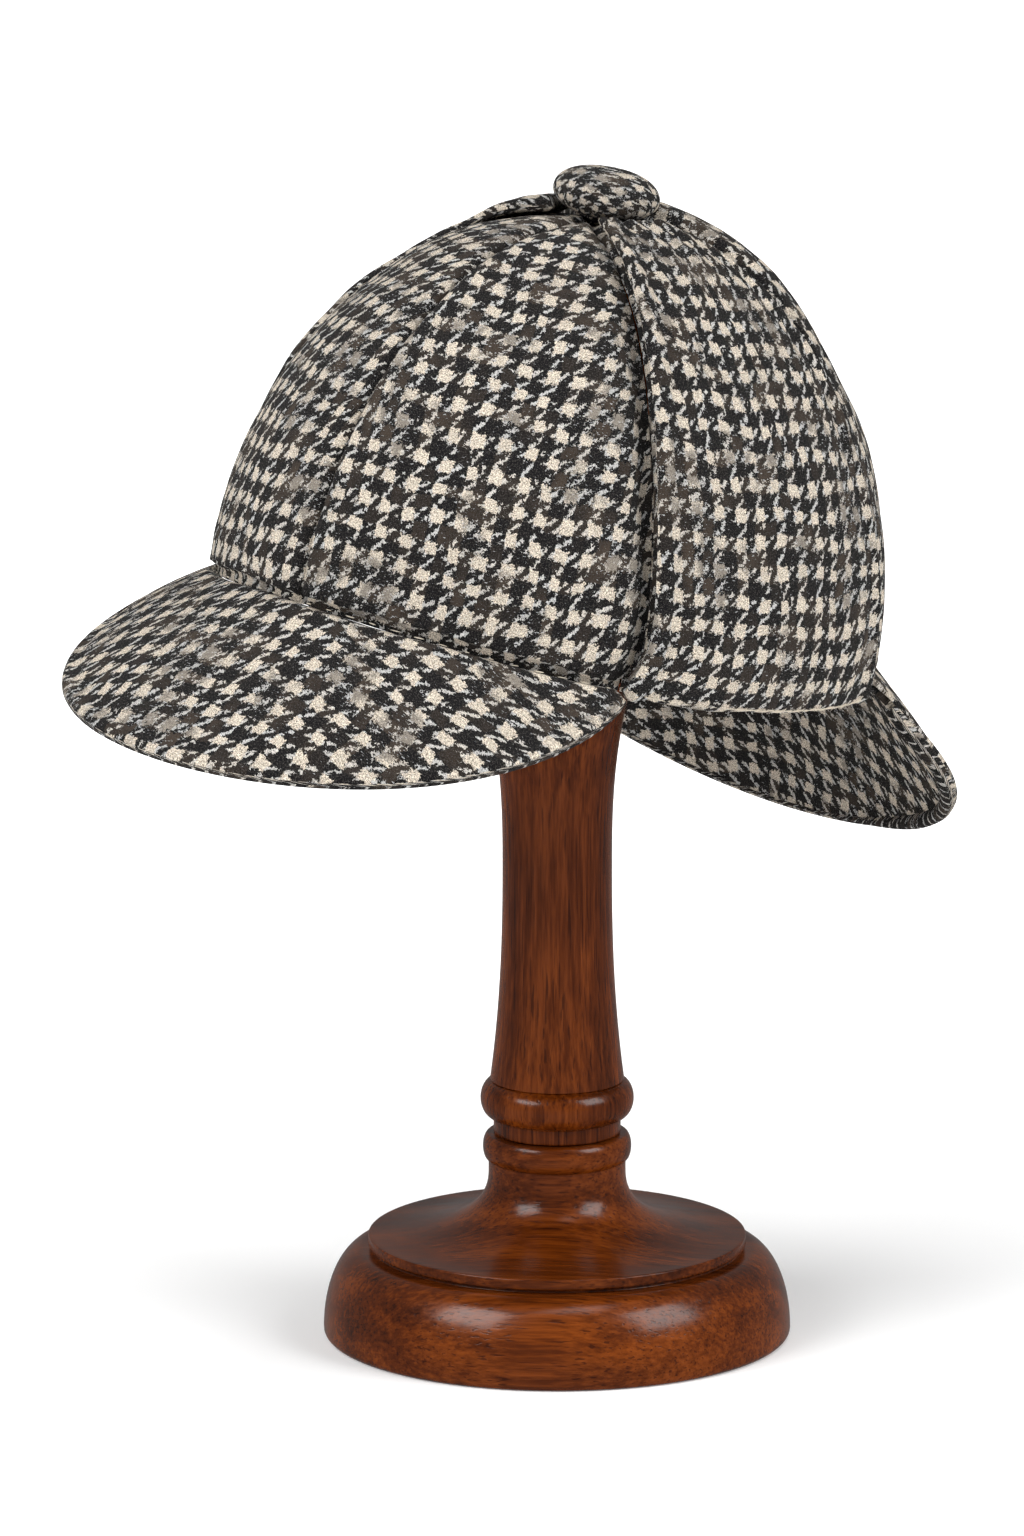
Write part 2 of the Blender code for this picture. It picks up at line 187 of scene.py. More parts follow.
# %% Lights and floor
LIT_PLACE = Vector((0.0, 0.0, 180.0 * MM))
WORLD_STRENGTH = 0.22
WHITE = (1.0, 1.0, 1.0)
FLOOR_GREY = (0.93, 0.93, 0.93)
FLOOR_SIZE = 24.0
GLOW_STARTS = 0.08
GLOW_FULL = 0.9
GLOW_NEAR = 0.12


def soft_light(name, round_deg, up_deg, distance, size, power):
    """A square soft box that looks at the hat from a direction given like the camera's."""
    data = bpy.data.lights.new(name, "AREA")
    data.shape = "SQUARE"
    data.size = size
    data.energy = power
    direction = direction_at(round_deg, up_deg)
    return aimed(data, LIT_PLACE + direction * distance, direction)


soft_light("left_soft_box", CAMERA_ROUND_DEG - 52.0, 38.0, 1.7, 0.9, 24.0)
soft_light("right_soft_box", CAMERA_ROUND_DEG + 62.0, 32.0, 1.7, 0.9, 20.0)
soft_light("top_soft_box", CAMERA_ROUND_DEG, 78.0, 1.9, 1.2, 19.0)

world = bpy.data.worlds.new("studio")
world.use_nodes = True
sky = world.node_tree.nodes["Background"]
fill_sockets(sky.inputs, {"Color": WHITE, "Strength": WORLD_STRENGTH})
bpy.context.scene.world = world
bpy.context.scene.view_settings.view_transform = "Standard"

floor_mesh = bpy.data.meshes.new("floor")
half = FLOOR_SIZE / 2
floor_corners = [(-half, -half, 0.0), (half, -half, 0.0), (half, half, 0.0), (-half, half, 0.0)]
floor_mesh.from_pydata(floor_corners, [], [(0, 1, 2, 3)])
floor = bpy.data.objects.new("floor", floor_mesh)
bpy.context.scene.collection.objects.link(floor)

# %% Floor paint
floor_paint, floor_tree, floor_shader = empty_material("floor_paint")
floor_place = floor_tree.nodes.new("ShaderNodeTexCoord")
floor_distance = add_node(
    floor_tree, "ShaderNodeVectorMath", {0: floor_place.outputs["Object"]}, operation="LENGTH"
)
fill_sockets(
    floor_shader.inputs,
    {
        "Base Color": FLOOR_GREY,
        "Roughness": 0.6,
        "Specular IOR Level": 0.2,
        "Emission Color": WHITE,
        "Emission Strength": smooth_range(
            floor_distance.outputs["Value"], GLOW_STARTS, GLOW_FULL, GLOW_NEAR
        ),
    },
)
floor_mesh.materials.append(floor_paint)
floor.visible_glossy = False
print("floor and", len(bpy.data.lights), "lights")

# %% [markdown]
# ## The tweed
#
# Houndstooth is not printed: it comes from weaving four dark and four light threads in turn, both ways, as
# a twill, in which each thread passes over two and under two, one step further in each row. Where dark
# crosses dark there is a dark block, where light crosses light a cream star, and in between the twill's
# diagonals make the teeth. The material does the same sum. A piece's map named weave counts repeats of
# the check, so the pattern follows the cloth over every curve. Noise makes the edges ragged, browns some
# dark blocks, greys some of the stars and strews pale flecks, as in wool yarn.
# The colour is also darkened in the hollows between the yarns and lightened on their tops: painted shade
# and a painted highlight.

# %% The check
PANEL_REPEAT = (7.3 * MM, 8.1 * MM)
FLAP_REPEAT = (7.5 * MM, 8.0 * MM)
FRONT_PEAK_REPEAT = (9.1 * MM, 9.1 * MM)
REAR_PEAK_REPEAT = (8.2 * MM, 7.2 * MM)
BUTTON_REPEAT = 6.2 * MM
THREADS = 8.0
YARNS = 16.0
TWILL_START = 0.375
YARN_STEP = 0.25
TOOTH_WIDTH = 0.14
LIGHT_FROM = 0.54
MOTTLE_SCALE = 0.33
MOTTLE_RANGE = (0.42, 0.64)
DRIFT_SCALE = 0.45
DRIFT = 0.9
RAGGED_SCALE = 11.0
RAGGED_LEAST = 0.30
RAGGED_BY_MOTTLE = 0.30
TOOTH_BREAK_SCALE = 4.5
TOOTH_BREAK = 0.44


def ragged_repeats(cloth, mottled):
    """The weave map across and along, drifting slowly and with ragged edges."""
    tree = cloth.id_data
    ragged = noise_pattern(cloth, RAGGED_SCALE, 3.0, 0.6).outputs["Color"]
    ragged = add_node(tree, "ShaderNodeSeparateColor", {0: ragged})
    drift = noise_pattern(cloth, DRIFT_SCALE).outputs["Color"]
    drift = add_node(tree, "ShaderNodeSeparateColor", {0: drift})
    straight = add_node(tree, "ShaderNodeSeparateXYZ", {0: cloth})
    raggedness = calc("MULTIPLY_ADD", mottled, RAGGED_BY_MOTTLE, RAGGED_LEAST)
    repeats = []
    for axis in (0, 1):
        fine = calc("MULTIPLY", calc("SUBTRACT", ragged.outputs[axis], 0.5), raggedness)
        broad = calc("MULTIPLY_ADD", drift.outputs[axis], DRIFT, -DRIFT / 2)
        repeats.append(calc("ADD", calc("ADD", fine, broad), straight.outputs[axis]))
    return repeats


def twill_place(across, along, steps, share, start):
    """Where a spot lies in the twill's run of threads, from 0 to 1: each row starts a step further on."""
    step_across = calc("FLOOR", calc("MULTIPLY", across, steps))
    step_along = calc("FLOOR", calc("MULTIPLY", along, steps))
    return calc("FRACT", calc("MULTIPLY_ADD", calc("SUBTRACT", step_across, step_along), share, start))


def stars_and_teeth(cloth, across, along):
    """1 in the light stars, and 1 in the light teeth between them."""
    warp_light = calc("GREATER_THAN", calc("FRACT", across), LIGHT_FROM)
    weft_light = calc("GREATER_THAN", calc("FRACT", along), LIGHT_FROM)
    twill = twill_place(across, along, 2.0 * THREADS, 1.0 / THREADS, TWILL_START)
    from_band = calc("ABSOLUTE", calc("SUBTRACT", twill, 0.5))
    warp_tooth = calc("LESS_THAN", from_band, TOOTH_WIDTH)
    weft_tooth = calc("GREATER_THAN", from_band, 0.5 - TOOTH_WIDTH)
    warp_only = calc("MULTIPLY", warp_light, calc("SUBTRACT", 1.0, weft_light))
    weft_only = calc("MULTIPLY", weft_light, calc("SUBTRACT", 1.0, warp_light))
    teeth = calc(
        "ADD", calc("MULTIPLY", warp_only, warp_tooth), calc("MULTIPLY", weft_only, weft_tooth)
    )
    whole = calc("GREATER_THAN", noise_pattern(cloth, TOOTH_BREAK_SCALE).outputs["Fac"], TOOTH_BREAK)
    return calc("MULTIPLY", warp_light, weft_light), calc("MULTIPLY", teeth, whole)


# %% Tweed colours
CREAM = (0.77, 0.69, 0.575)
CREAM_GREY = (0.17, 0.15, 0.13)
BLACK = (0.006, 0.006, 0.007)
GREY_BLACK = (0.066, 0.059, 0.053)
BROWN_BLACK = (0.066, 0.048, 0.035)
PALE_FLECK = (0.62, 0.63, 0.64)
TAN = (0.235, 0.185, 0.135)
TOOTH_PALE = (0.50, 0.50, 0.49)
YARN_NOISE_SCALE = 17.0
BROWNED_CHANCES = (0.5, 0.9)
BROWNED_LEAST = 0.3
BROWNED_BY_MOTTLE = 0.7
DUSTY_RANGE = (0.50, 0.62, 0.0, 0.9)
SPECKLED_RANGE = (0.46, 0.58, 0.0, 0.85)
GREYED_RANGE = (1.0, 1.35)
GREYED_MOST = 0.75
TOOTH_CREAM_MOST = 0.6
FLECK_STRETCH = (5.0, 15.0, 1.0)
FLECK_TURN_DEG = -45.0
FLECK_LIMIT = 0.70
FLECKS_BY_MOTTLE = -0.06
FLECK_STRENGTH = 0.7


def block_chance(across, along):
    """A random number for each block of the check."""
    tree = across.id_data
    places = {axis: calc("FLOOR", calc("MULTIPLY", way, 2.0)) for axis, way in enumerate((across, along))}
    block = add_node(tree, "ShaderNodeCombineXYZ", places)
    return add_node(tree, "ShaderNodeTexWhiteNoise", {"Vector": block.outputs[0]}).outputs["Value"]


def check_colour(cloth, mottled, across, along):
    """Dark blocks, light stars and teeth, with browned, dusty and greyed places."""
    star, teeth = stars_and_teeth(cloth, across, along)
    chance = block_chance(across, along)
    yarn = noise_pattern(cloth, YARN_NOISE_SCALE, 3.0, 0.8).outputs["Fac"]
    browned_most = calc("MULTIPLY_ADD", mottled, BROWNED_BY_MOTTLE, BROWNED_LEAST)
    browned = calc("MULTIPLY", browned_most, smooth_range(chance, *BROWNED_CHANCES))
    dark = blend_colour(browned, BLACK, BROWN_BLACK)
    dark = blend_colour(smooth_range(yarn, *DUSTY_RANGE), dark, GREY_BLACK)
    cream = blend_colour(smooth_range(yarn, *SPECKLED_RANGE), CREAM, TAN)
    greyed = smooth_range(calc("ADD", yarn, mottled), *GREYED_RANGE)
    light = blend_colour(calc("MULTIPLY", greyed, GREYED_MOST), cream, CREAM_GREY)
    tooth_colour = blend_colour(calc("MULTIPLY", chance, TOOTH_CREAM_MOST), TOOTH_PALE, cream)
    return blend_colour(teeth, blend_colour(star, dark, light), tooth_colour)


def pale_flecks(cloth, mottled):
    """How much of a pale fleck lies on a spot; the flecks are short and slant with the twill."""
    turned = mapped(cloth, Rotation=(0.0, 0.0, math.radians(FLECK_TURN_DEG)), Scale=FLECK_STRETCH)
    limit = calc("MULTIPLY_ADD", mottled, FLECKS_BY_MOTTLE, FLECK_LIMIT)
    fleck = calc("GREATER_THAN", noise_pattern(turned, 1.0, 2.0, 0.6).outputs["Fac"], limit)
    return calc("MULTIPLY", fleck, FLECK_STRENGTH)


# %% Tweed
FUZZ_SCALE = 20.0
FUZZ = 1.3
# Painted shade and painted highlight: yarn heights in this range darken the colour in the hollows and
# lighten it on the yarn tops and the fuzz.
PAINTED_YARN_SHADE_RANGE = (0.75, 1.7, 0.34, 1.3)
TWEED_BUMP = (0.7, 0.25 * MM)


def yarn_relief(cloth, across, along):
    """The height of the yarns, which pass over two and under two, with fuzz on top."""
    ridges = []
    for way in (across, along):
        half_turns = calc("MULTIPLY", calc("MULTIPLY", way, YARNS), math.pi)
        ridges.append(calc("ABSOLUTE", calc("SINE", half_turns)))
    warp_over = calc("LESS_THAN", twill_place(across, along, YARNS, YARN_STEP, YARN_STEP / 2), 0.5)
    weft_over = calc("SUBTRACT", 1.0, warp_over)
    yarns = calc(
        "ADD", calc("MULTIPLY", warp_over, ridges[0]), calc("MULTIPLY", weft_over, ridges[1])
    )
    fuzz = noise_pattern(cloth, FUZZ_SCALE, 3.0, 0.85).outputs["Fac"]
    return calc("ADD", yarns, calc("MULTIPLY", fuzz, FUZZ))


def tweed_material():
    material, tree, shader = empty_material("tweed")
    weave = tree.nodes.new("ShaderNodeUVMap")
    weave.uv_map = "weave"
    cloth = weave.outputs["UV"]
    mottle = noise_pattern(cloth, MOTTLE_SCALE, 3.0, 0.6).outputs["Fac"]
    mottled = smooth_range(mottle, *MOTTLE_RANGE)
    across, along = ragged_repeats(cloth, mottled)
    check = check_colour(cloth, mottled, across, along)
    flecked = blend_colour(pale_flecks(cloth, mottled), check, PALE_FLECK)
    height = yarn_relief(cloth, across, along)
    # Painted shade: the colour is multiplied down in the hollows between the yarns and up on their tops and
    # fuzz, a painted highlight, besides the bump.
    hollow = smooth_range(height, *PAINTED_YARN_SHADE_RANGE)
    painted_yarn_shade = add_node(tree, "ShaderNodeCombineColor", {0: hollow, 1: hollow, 2: hollow})
    fill_sockets(
        shader.inputs,
        {
            "Base Color": blend_colour(1.0, flecked, painted_yarn_shade.outputs[0], "MULTIPLY"),
            "Normal": bumped(height, *TWEED_BUMP),
            "Roughness": 0.93,
            "Specular IOR Level": 0.1,
            "Sheen Weight": 0.02,
            "Sheen Roughness": 0.5,
            "Sheen Tint": (0.9, 0.88, 0.84),
        },
    )
    return material


tweed = tweed_material()
print("tweed nodes:", len(tweed.node_tree.nodes))

# %% [markdown]
# ## The mahogany
#
# The stand is turned from reddish brown wood with a satin lacquer. Wood grain is long along the trunk and
# fine across it, so the noise is stretched a lot one way. The column's wood stands upright. The foot was
# cut from a flat board, so its grain lies level and shows as arches on the rounded side. Short dark dashes
# are the pores. The lacquer is a thin clear coat over a slightly rough base.

# %% Mahogany
BOARD_TURN_DEG = 36.0
WOOD_DARK = (0.018, 0.0036, 0.0008)
WOOD_MIDDLE = (0.078, 0.0150, 0.0015)
WOOD_LIGHT = (0.205, 0.044, 0.0040)
WOOD_TONES = ((0.42, WOOD_DARK), (0.57, WOOD_MIDDLE), (0.76, WOOD_LIGHT))
GRAIN_STRETCH = (1.0, 1.0, 0.05)
PORE_STRETCH = (1.0, 1.0, 0.03)
FIGURE_SCALE = 42.0
STREAK_SCALE = 760.0
CLOUD_SCALE = 22.0
PORE_SCALE = 1500.0
RING_SCALE = 26.0
RING_CENTRE = (0.05, 0.03, 0.0)
FIGURE_SHARE = 0.46
STREAK_SHARE = 0.46
RING_SHARE = 0.06
CLOUD_SHARE = 0.22
PORE_RANGE = (0.60, 0.70)
PORE_STRENGTH = 0.65
LACQUER_RANGE = (0.3, 0.7, 0.17, 0.26)
WOOD_BUMP = (0.22, 0.12 * MM)


def wood_tone(place, long_way, streaks):
    """A number for each spot: figure, streaks, growth rings and slow clouds, added up."""
    figure = noise_pattern(long_way, FIGURE_SCALE, 4.0, 0.6)
    figure.inputs["Distortion"].default_value = 0.8
    rings = add_node(
        long_way.id_data,
        "ShaderNodeTexWave",
        {
            "Vector": mapped(long_way, Location=RING_CENTRE),
            "Scale": RING_SCALE,
            "Distortion": 9.0,
            "Detail": 3.0,
            "Detail Scale": 1.4,
        },
        wave_type="RINGS",
        rings_direction="Z",
    )
    tone = calc("MULTIPLY", figure.outputs["Fac"], FIGURE_SHARE)
    tone = calc("MULTIPLY_ADD", streaks, STREAK_SHARE, tone)
    tone = calc("MULTIPLY_ADD", rings.outputs["Fac"], RING_SHARE, tone)
    return calc("MULTIPLY_ADD", noise_pattern(place, CLOUD_SCALE).outputs["Fac"], CLOUD_SHARE, tone)


def mahogany_material(name, level_grain):
    """Grain upright, or level and arched for the foot."""
    material, tree, shader = empty_material(name)
    place = tree.nodes.new("ShaderNodeTexCoord").outputs["Object"]
    lay = place
    if level_grain:
        lay = mapped(place, Rotation=(0.0, 0.0, math.radians(-BOARD_TURN_DEG)))
        lay = mapped(lay, Rotation=(0.0, math.radians(90.0), 0.0))
    long_way = mapped(lay, Scale=GRAIN_STRETCH)
    streaks = noise_pattern(long_way, STREAK_SCALE, 3.0, 0.7).outputs["Fac"]
    ramp = add_node(tree, "ShaderNodeValToRGB", {"Fac": wood_tone(place, long_way, streaks)})
    stops = ramp.color_ramp.elements
    stops.new(WOOD_TONES[1][0])
    for stop, (position, colour) in zip(stops, WOOD_TONES):
        stop.position = position
        stop.color = (*colour, 1.0)
    pores = noise_pattern(mapped(lay, Scale=PORE_STRETCH), PORE_SCALE, 1.0)
    pore = smooth_range(pores.outputs["Fac"], *PORE_RANGE)
    pored = blend_colour(calc("MULTIPLY", pore, PORE_STRENGTH), ramp.outputs["Color"], WOOD_DARK)
    fill_sockets(
        shader.inputs,
        {
            "Base Color": pored,
            "Roughness": smooth_range(streaks, *LACQUER_RANGE),
            "Normal": bumped(calc("SUBTRACT", streaks, pore), *WOOD_BUMP),
            "Specular IOR Level": 0.2,
            "Coat Weight": 0.12,
            "Coat Roughness": 0.2,
        },
    )
    return material


column_wood = mahogany_material("mahogany_upright", level_grain=False)
foot_wood = mahogany_material("mahogany_level", level_grain=True)
print("mahogany nodes:", len(column_wood.node_tree.nodes))

# %% [markdown]
# ## The turned stand
#
# A lathe makes a shape from one line, its profile, so the script does too: it lists points of radius and
# height from the top down, rounds the corners a little, as sandpaper does, and turns the line round the
# axis. The sizes are those of the plain model. Three pieces are glued together: the foot with its step and
# hollow neck, the waisted column between two beads, and the plain domed head that the hat hides.

# %% Lathe helpers
TURNED_SIDES = 144
SANDED = 0.5 * MM
SANDED_MOST = 0.45
SANDED_STEPS = 4
SHARPEST_KEPT_DEG = 20.0
SAME_PLACE = 1e-9
BEAD_STEPS = 20


def arc(centre_radius, centre_height, radius, start_deg, end_deg, steps, stretch=1.0):
    """Points of an arc in the profile's plane; stretch widens it along the radius."""
    points = []
    for step in range(steps + 1):
        angle = math.radians(start_deg + (end_deg - start_deg) * step / steps)
        across = centre_radius + stretch * radius * math.cos(angle)
        points.append((across, centre_height + radius * math.sin(angle)))
    return points


def bead(neck_radius, bead_radius, top, length):
    """A half-round bead, from its top to its bottom."""
    half = length / 2
    return arc(neck_radius, top - half, half, 90.0, -90.0, BEAD_STEPS, (bead_radius - neck_radius) / half)


def sanded(profile):
    """Rounds each sharp corner of the profile that isn't on the axis."""
    result = [profile[0]]
    for before, corner, after in zip(profile, profile[1:], profile[2:]):
        into = Vector(corner) - Vector(before)
        out_of = Vector(after) - Vector(corner)
        if into.length < SAME_PLACE or out_of.length < SAME_PLACE:
            continue
        turn = abs(math.degrees(into.angle(out_of)))
        if turn < SHARPEST_KEPT_DEG:
            result.append(corner)
            continue
        start = Vector(corner) - into.normalized() * min(SANDED, into.length * SANDED_MOST)
        end = Vector(corner) + out_of.normalized() * min(SANDED, out_of.length * SANDED_MOST)
        for step in range(SANDED_STEPS + 1):
            share = step / SANDED_STEPS
            first = start.lerp(Vector(corner), share)
            second = Vector(corner).lerp(end, share)
            result.append(tuple(first.lerp(second, share)))
    result.append(profile[-1])
    return result


def add_piece(name, mesh, material, slot, *nodes):
    """Puts a finished mesh in the scene, in the place of its plain nodes."""
    mesh.materials.clear()
    mesh.materials.append(material)
    mesh.shade_smooth()
    piece = bpy.data.objects.new(name, mesh)
    bpy.context.scene.collection.objects.link(piece)
    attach(piece, "root")
    if nodes:
        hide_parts(*nodes)
    print(name, "faces:", len(mesh.polygons))
    return piece


def turned_piece(name, profile, material, node):
    """Turns a profile that starts and ends on the axis."""
    line = sanded(profile)
    vertices = [(0.0, 0.0, line[0][1])]
    for radius, height in line[1:-1]:
        for side in range(TURNED_SIDES):
            angle = 2.0 * math.pi * side / TURNED_SIDES
            vertices.append((radius * math.cos(angle), radius * math.sin(angle), height))
    vertices.append((0.0, 0.0, line[-1][1]))
    last = len(vertices) - 1
    faces = []
    for ring in range(len(line) - 3):
        upper = 1 + ring * TURNED_SIDES
        lower = upper + TURNED_SIDES
        for side in range(TURNED_SIDES):
            ahead = (side + 1) % TURNED_SIDES
            faces.append((upper + side, lower + side, lower + ahead, upper + ahead))
    bottom = 1 + (len(line) - 3) * TURNED_SIDES
    for side in range(TURNED_SIDES):
        ahead = (side + 1) % TURNED_SIDES
        faces.append((0, 1 + side, 1 + ahead))
        faces.append((last, bottom + ahead, bottom + side))
    mesh = bpy.data.meshes.new(name)
    mesh.from_pydata(vertices, [], faces)
    add_piece(name, mesh, material, "mahogany", node)


# %% The foot
GAP = 0.3 * MM
TENON_RADIUS = 9.0 * MM
TENON_LENGTH = 24.0 * MM
FOOT_RADIUS = 65.8 * MM
FOOT_EDGE_ROUND = 2.0 * MM
FOOT_SIDE_HEIGHT = 24.8 * MM
FOOT_SHOULDER_RADIUS = 54.6 * MM
STEP_RADIUS = 53.2 * MM
STEP_HEIGHT = 3.0 * MM
STEP_GROOVE_DEPTH = 1.4 * MM
STEP_GROOVE_WIDTH = 1.2 * MM
FLARE_HEIGHT = 18.7 * MM
FLARE_SPREAD_POWER = 1.08
FLARE_FALL_POWER = 0.88
NECK_RADIUS = 19.3 * MM
NECK_LENGTH = 3.0 * MM
LOWER_BEAD_RADIUS = 20.9 * MM
LOWER_BEAD_LENGTH = 7.6 * MM
STEP_TOP = FOOT_SIDE_HEIGHT + STEP_GROOVE_WIDTH + STEP_HEIGHT
FLARE_TOP = STEP_TOP + FLARE_HEIGHT
LOWER_BEAD_TOP = FLARE_TOP + NECK_LENGTH + LOWER_BEAD_LENGTH
COLUMN_BOTTOM = LOWER_BEAD_TOP + GAP
FLARE_STEPS = 32
SHOULDER_STEPS = 28
EDGE_STEPS = 6


def foot_profile():
    socket_floor = COLUMN_BOTTOM - TENON_LENGTH - GAP
    points = [
        (0.0, socket_floor),
        (TENON_RADIUS + GAP, socket_floor),
        (TENON_RADIUS + GAP, LOWER_BEAD_TOP),
    ]
    points += bead(NECK_RADIUS, LOWER_BEAD_RADIUS, LOWER_BEAD_TOP, LOWER_BEAD_LENGTH)
    for step in range(FLARE_STEPS + 1):
        angle = math.radians(90.0 * step / FLARE_STEPS)
        out = (1.0 - math.cos(angle)) ** FLARE_SPREAD_POWER
        fall = math.sin(angle) ** FLARE_FALL_POWER
        radius = NECK_RADIUS + (STEP_RADIUS - NECK_RADIUS) * out
        points.append((radius, FLARE_TOP - FLARE_HEIGHT * fall))
    groove_radius = STEP_RADIUS - STEP_GROOVE_DEPTH
    points += [
        (STEP_RADIUS, STEP_TOP - STEP_HEIGHT),
        (groove_radius, STEP_TOP - STEP_HEIGHT),
        (groove_radius, FOOT_SIDE_HEIGHT),
    ]
    rise = FOOT_SIDE_HEIGHT - FOOT_EDGE_ROUND
    overhang = (FOOT_RADIUS - FOOT_SHOULDER_RADIUS) / rise
    points += arc(FOOT_SHOULDER_RADIUS, FOOT_EDGE_ROUND, rise, 90.0, 0.0, SHOULDER_STEPS, overhang)
    edge_centre = FOOT_RADIUS - FOOT_EDGE_ROUND
    points += arc(edge_centre, FOOT_EDGE_ROUND, FOOT_EDGE_ROUND, -15.0, -90.0, EDGE_STEPS)
    points.append((0.0, 0.0))
    return points


turned_piece("turned_foot", foot_profile(), foot_wood, "stand_base")

# %% The column
UPPER_BEAD_RADIUS = 21.6 * MM
UPPER_BEAD_LENGTH = 10.8 * MM
BEAD_NECK_RADIUS = 17.9 * MM
BEAD_NECK_LENGTH = 4.4 * MM
COLUMN_LENGTH = 117.0 * MM
COLUMN_FOOT_RADIUS = 18.9 * MM
COLUMN_WAIST_RADIUS = 15.4 * MM
COLUMN_TOP_RADIUS = 21.8 * MM
COLUMN_WAIST_SHARE = 0.53
COLUMN_FOOT_POWER = 2.4
COLUMN_TOP_POWER = 2.6
UPPER_BEAD_TOP = COLUMN_BOTTOM + BEAD_NECK_LENGTH + UPPER_BEAD_LENGTH
COLUMN_TOP = UPPER_BEAD_TOP + COLUMN_LENGTH
COLUMN_STEPS = 48


def column_radius(share):
    """The waisted column's radius, at a share of its length from its foot."""
    if share < COLUMN_WAIST_SHARE:
        reach = (COLUMN_WAIST_SHARE - share) / COLUMN_WAIST_SHARE
        swell = COLUMN_FOOT_RADIUS - COLUMN_WAIST_RADIUS
        return COLUMN_WAIST_RADIUS + swell * reach**COLUMN_FOOT_POWER
    reach = (share - COLUMN_WAIST_SHARE) / (1.0 - COLUMN_WAIST_SHARE)
    swell = COLUMN_TOP_RADIUS - COLUMN_WAIST_RADIUS
    return COLUMN_WAIST_RADIUS + swell * reach**COLUMN_TOP_POWER


def column_profile():
    points = [
        (0.0, COLUMN_TOP + TENON_LENGTH),
        (TENON_RADIUS, COLUMN_TOP + TENON_LENGTH),
        (TENON_RADIUS, COLUMN_TOP),
    ]
    for step in range(COLUMN_STEPS, -1, -1):
        share = step / COLUMN_STEPS
        points.append((column_radius(share), UPPER_BEAD_TOP + COLUMN_LENGTH * share))
    points += bead(BEAD_NECK_RADIUS, UPPER_BEAD_RADIUS, UPPER_BEAD_TOP, UPPER_BEAD_LENGTH)
    points += [
        (BEAD_NECK_RADIUS, COLUMN_BOTTOM),
        (TENON_RADIUS, COLUMN_BOTTOM),
        (TENON_RADIUS, COLUMN_BOTTOM - TENON_LENGTH),
        (0.0, COLUMN_BOTTOM - TENON_LENGTH),
    ]
    return points


turned_piece("turned_column", column_profile(), column_wood, "stand_column")

# %% The head that the hat hides
HEAD_RADIUS = 66.0 * MM
HEAD_EDGE_RADIUS = 60.0 * MM
HEAD_EDGE_ROUND = 4.0 * MM
HEAD_STEM_RADIUS = 21.0 * MM
HEAD_BOTTOM = COLUMN_TOP + GAP
HEAD_STEPS = 24


def head_profile():
    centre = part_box("stand_head")[1].z - HEAD_RADIUS
    edge_height = centre + math.sqrt(HEAD_RADIUS**2 - HEAD_EDGE_RADIUS**2)
    edge_deg = math.degrees(math.atan2(edge_height - centre, HEAD_EDGE_RADIUS))
    underside = edge_height - HEAD_EDGE_ROUND
    return arc(0.0, centre, HEAD_RADIUS, 90.0, edge_deg, HEAD_STEPS) + [
        (HEAD_EDGE_RADIUS - HEAD_EDGE_ROUND, underside),
        (HEAD_STEM_RADIUS + HEAD_EDGE_ROUND, underside),
        (HEAD_STEM_RADIUS, underside - HEAD_EDGE_ROUND),
        (HEAD_STEM_RADIUS, HEAD_BOTTOM),
        (TENON_RADIUS + GAP, HEAD_BOTTOM),
        (TENON_RADIUS + GAP, COLUMN_TOP + TENON_LENGTH + GAP),
        (0.0, COLUMN_TOP + TENON_LENGTH + GAP),
    ]


turned_piece("turned_head", head_profile(), column_wood, "stand_head")

# %% [markdown]
# ## The crown's form
#
# The crown is an egg-shaped dome: longer than wide, fuller at the back. A place on it is given as on a
# globe, by a turn in degrees round from the front towards the wearer's left, and a lift in degrees from
# the rim up to the top. The hat sits tilted back and to its left, so each piece is shaped level first and
# then placed.

# %% Crown form
HAT_CENTRE = Vector((-1.9 * MM, -7.8 * MM, 210.4 * MM))
HAT_BACK_TILT_DEG = 9.2
HAT_LEFT_TILT_DEG = 5.3
HAT_TILT = Euler((-math.radians(HAT_BACK_TILT_DEG), math.radians(HAT_LEFT_TILT_DEG), 0.0))
UPWARDS = np.array([0.0, 0.0, 1.0])
CROWN_HALF_LENGTH = 102.0 * MM
CROWN_HALF_WIDTH = 89.0 * MM
CROWN_RISE = 112.0 * MM
CROWN_BACK_FULLNESS = 0.085
CROWN_BACK_ROUNDNESS = 0.12
CROWN_TOP_FORWARD = 2.0 * MM
CROWN_TOP_TO_LEFT = 1.0 * MM
RIM_WAVE = 5.0 * MM
CROWN_WALL = 2.5 * MM
PANEL_SEAM_DEPTH = 1.2 * MM


def crown_points(turn, lift, proud=0.0):
    """Points on the crown, from arrays of degrees; proud is a distance out from its face."""
    turn, lift, proud = np.broadcast_arrays(np.radians(turn), np.radians(lift), proud)
    to_back = (1.0 - np.cos(turn)) / 2.0
    spread = np.maximum(np.cos(lift), 0.0) ** (1.0 - CROWN_BACK_ROUNDNESS * to_back)
    climb = np.sin(lift)
    fullness = 1.0 - CROWN_BACK_FULLNESS * np.cos(turn)
    wave = RIM_WAVE * np.cos(2.0 * turn) * spread**2
    left = (CROWN_HALF_WIDTH + proud) * np.sin(turn) * fullness * spread + CROWN_TOP_TO_LEFT * climb
    back = -(CROWN_HALF_LENGTH + proud) * np.cos(turn) * spread - CROWN_TOP_FORWARD * climb
    return np.stack([left, back, (CROWN_RISE + proud) * climb + wave], axis=-1)


def on_the_stand(points):
    """Places points of the level hat on the stand."""
    turned = np.array(HAT_TILT.to_matrix())
    return points @ turned.T + np.array(HAT_CENTRE)


def lift_at_radius(radius):
    return math.degrees(math.acos(radius / CROWN_HALF_WIDTH))


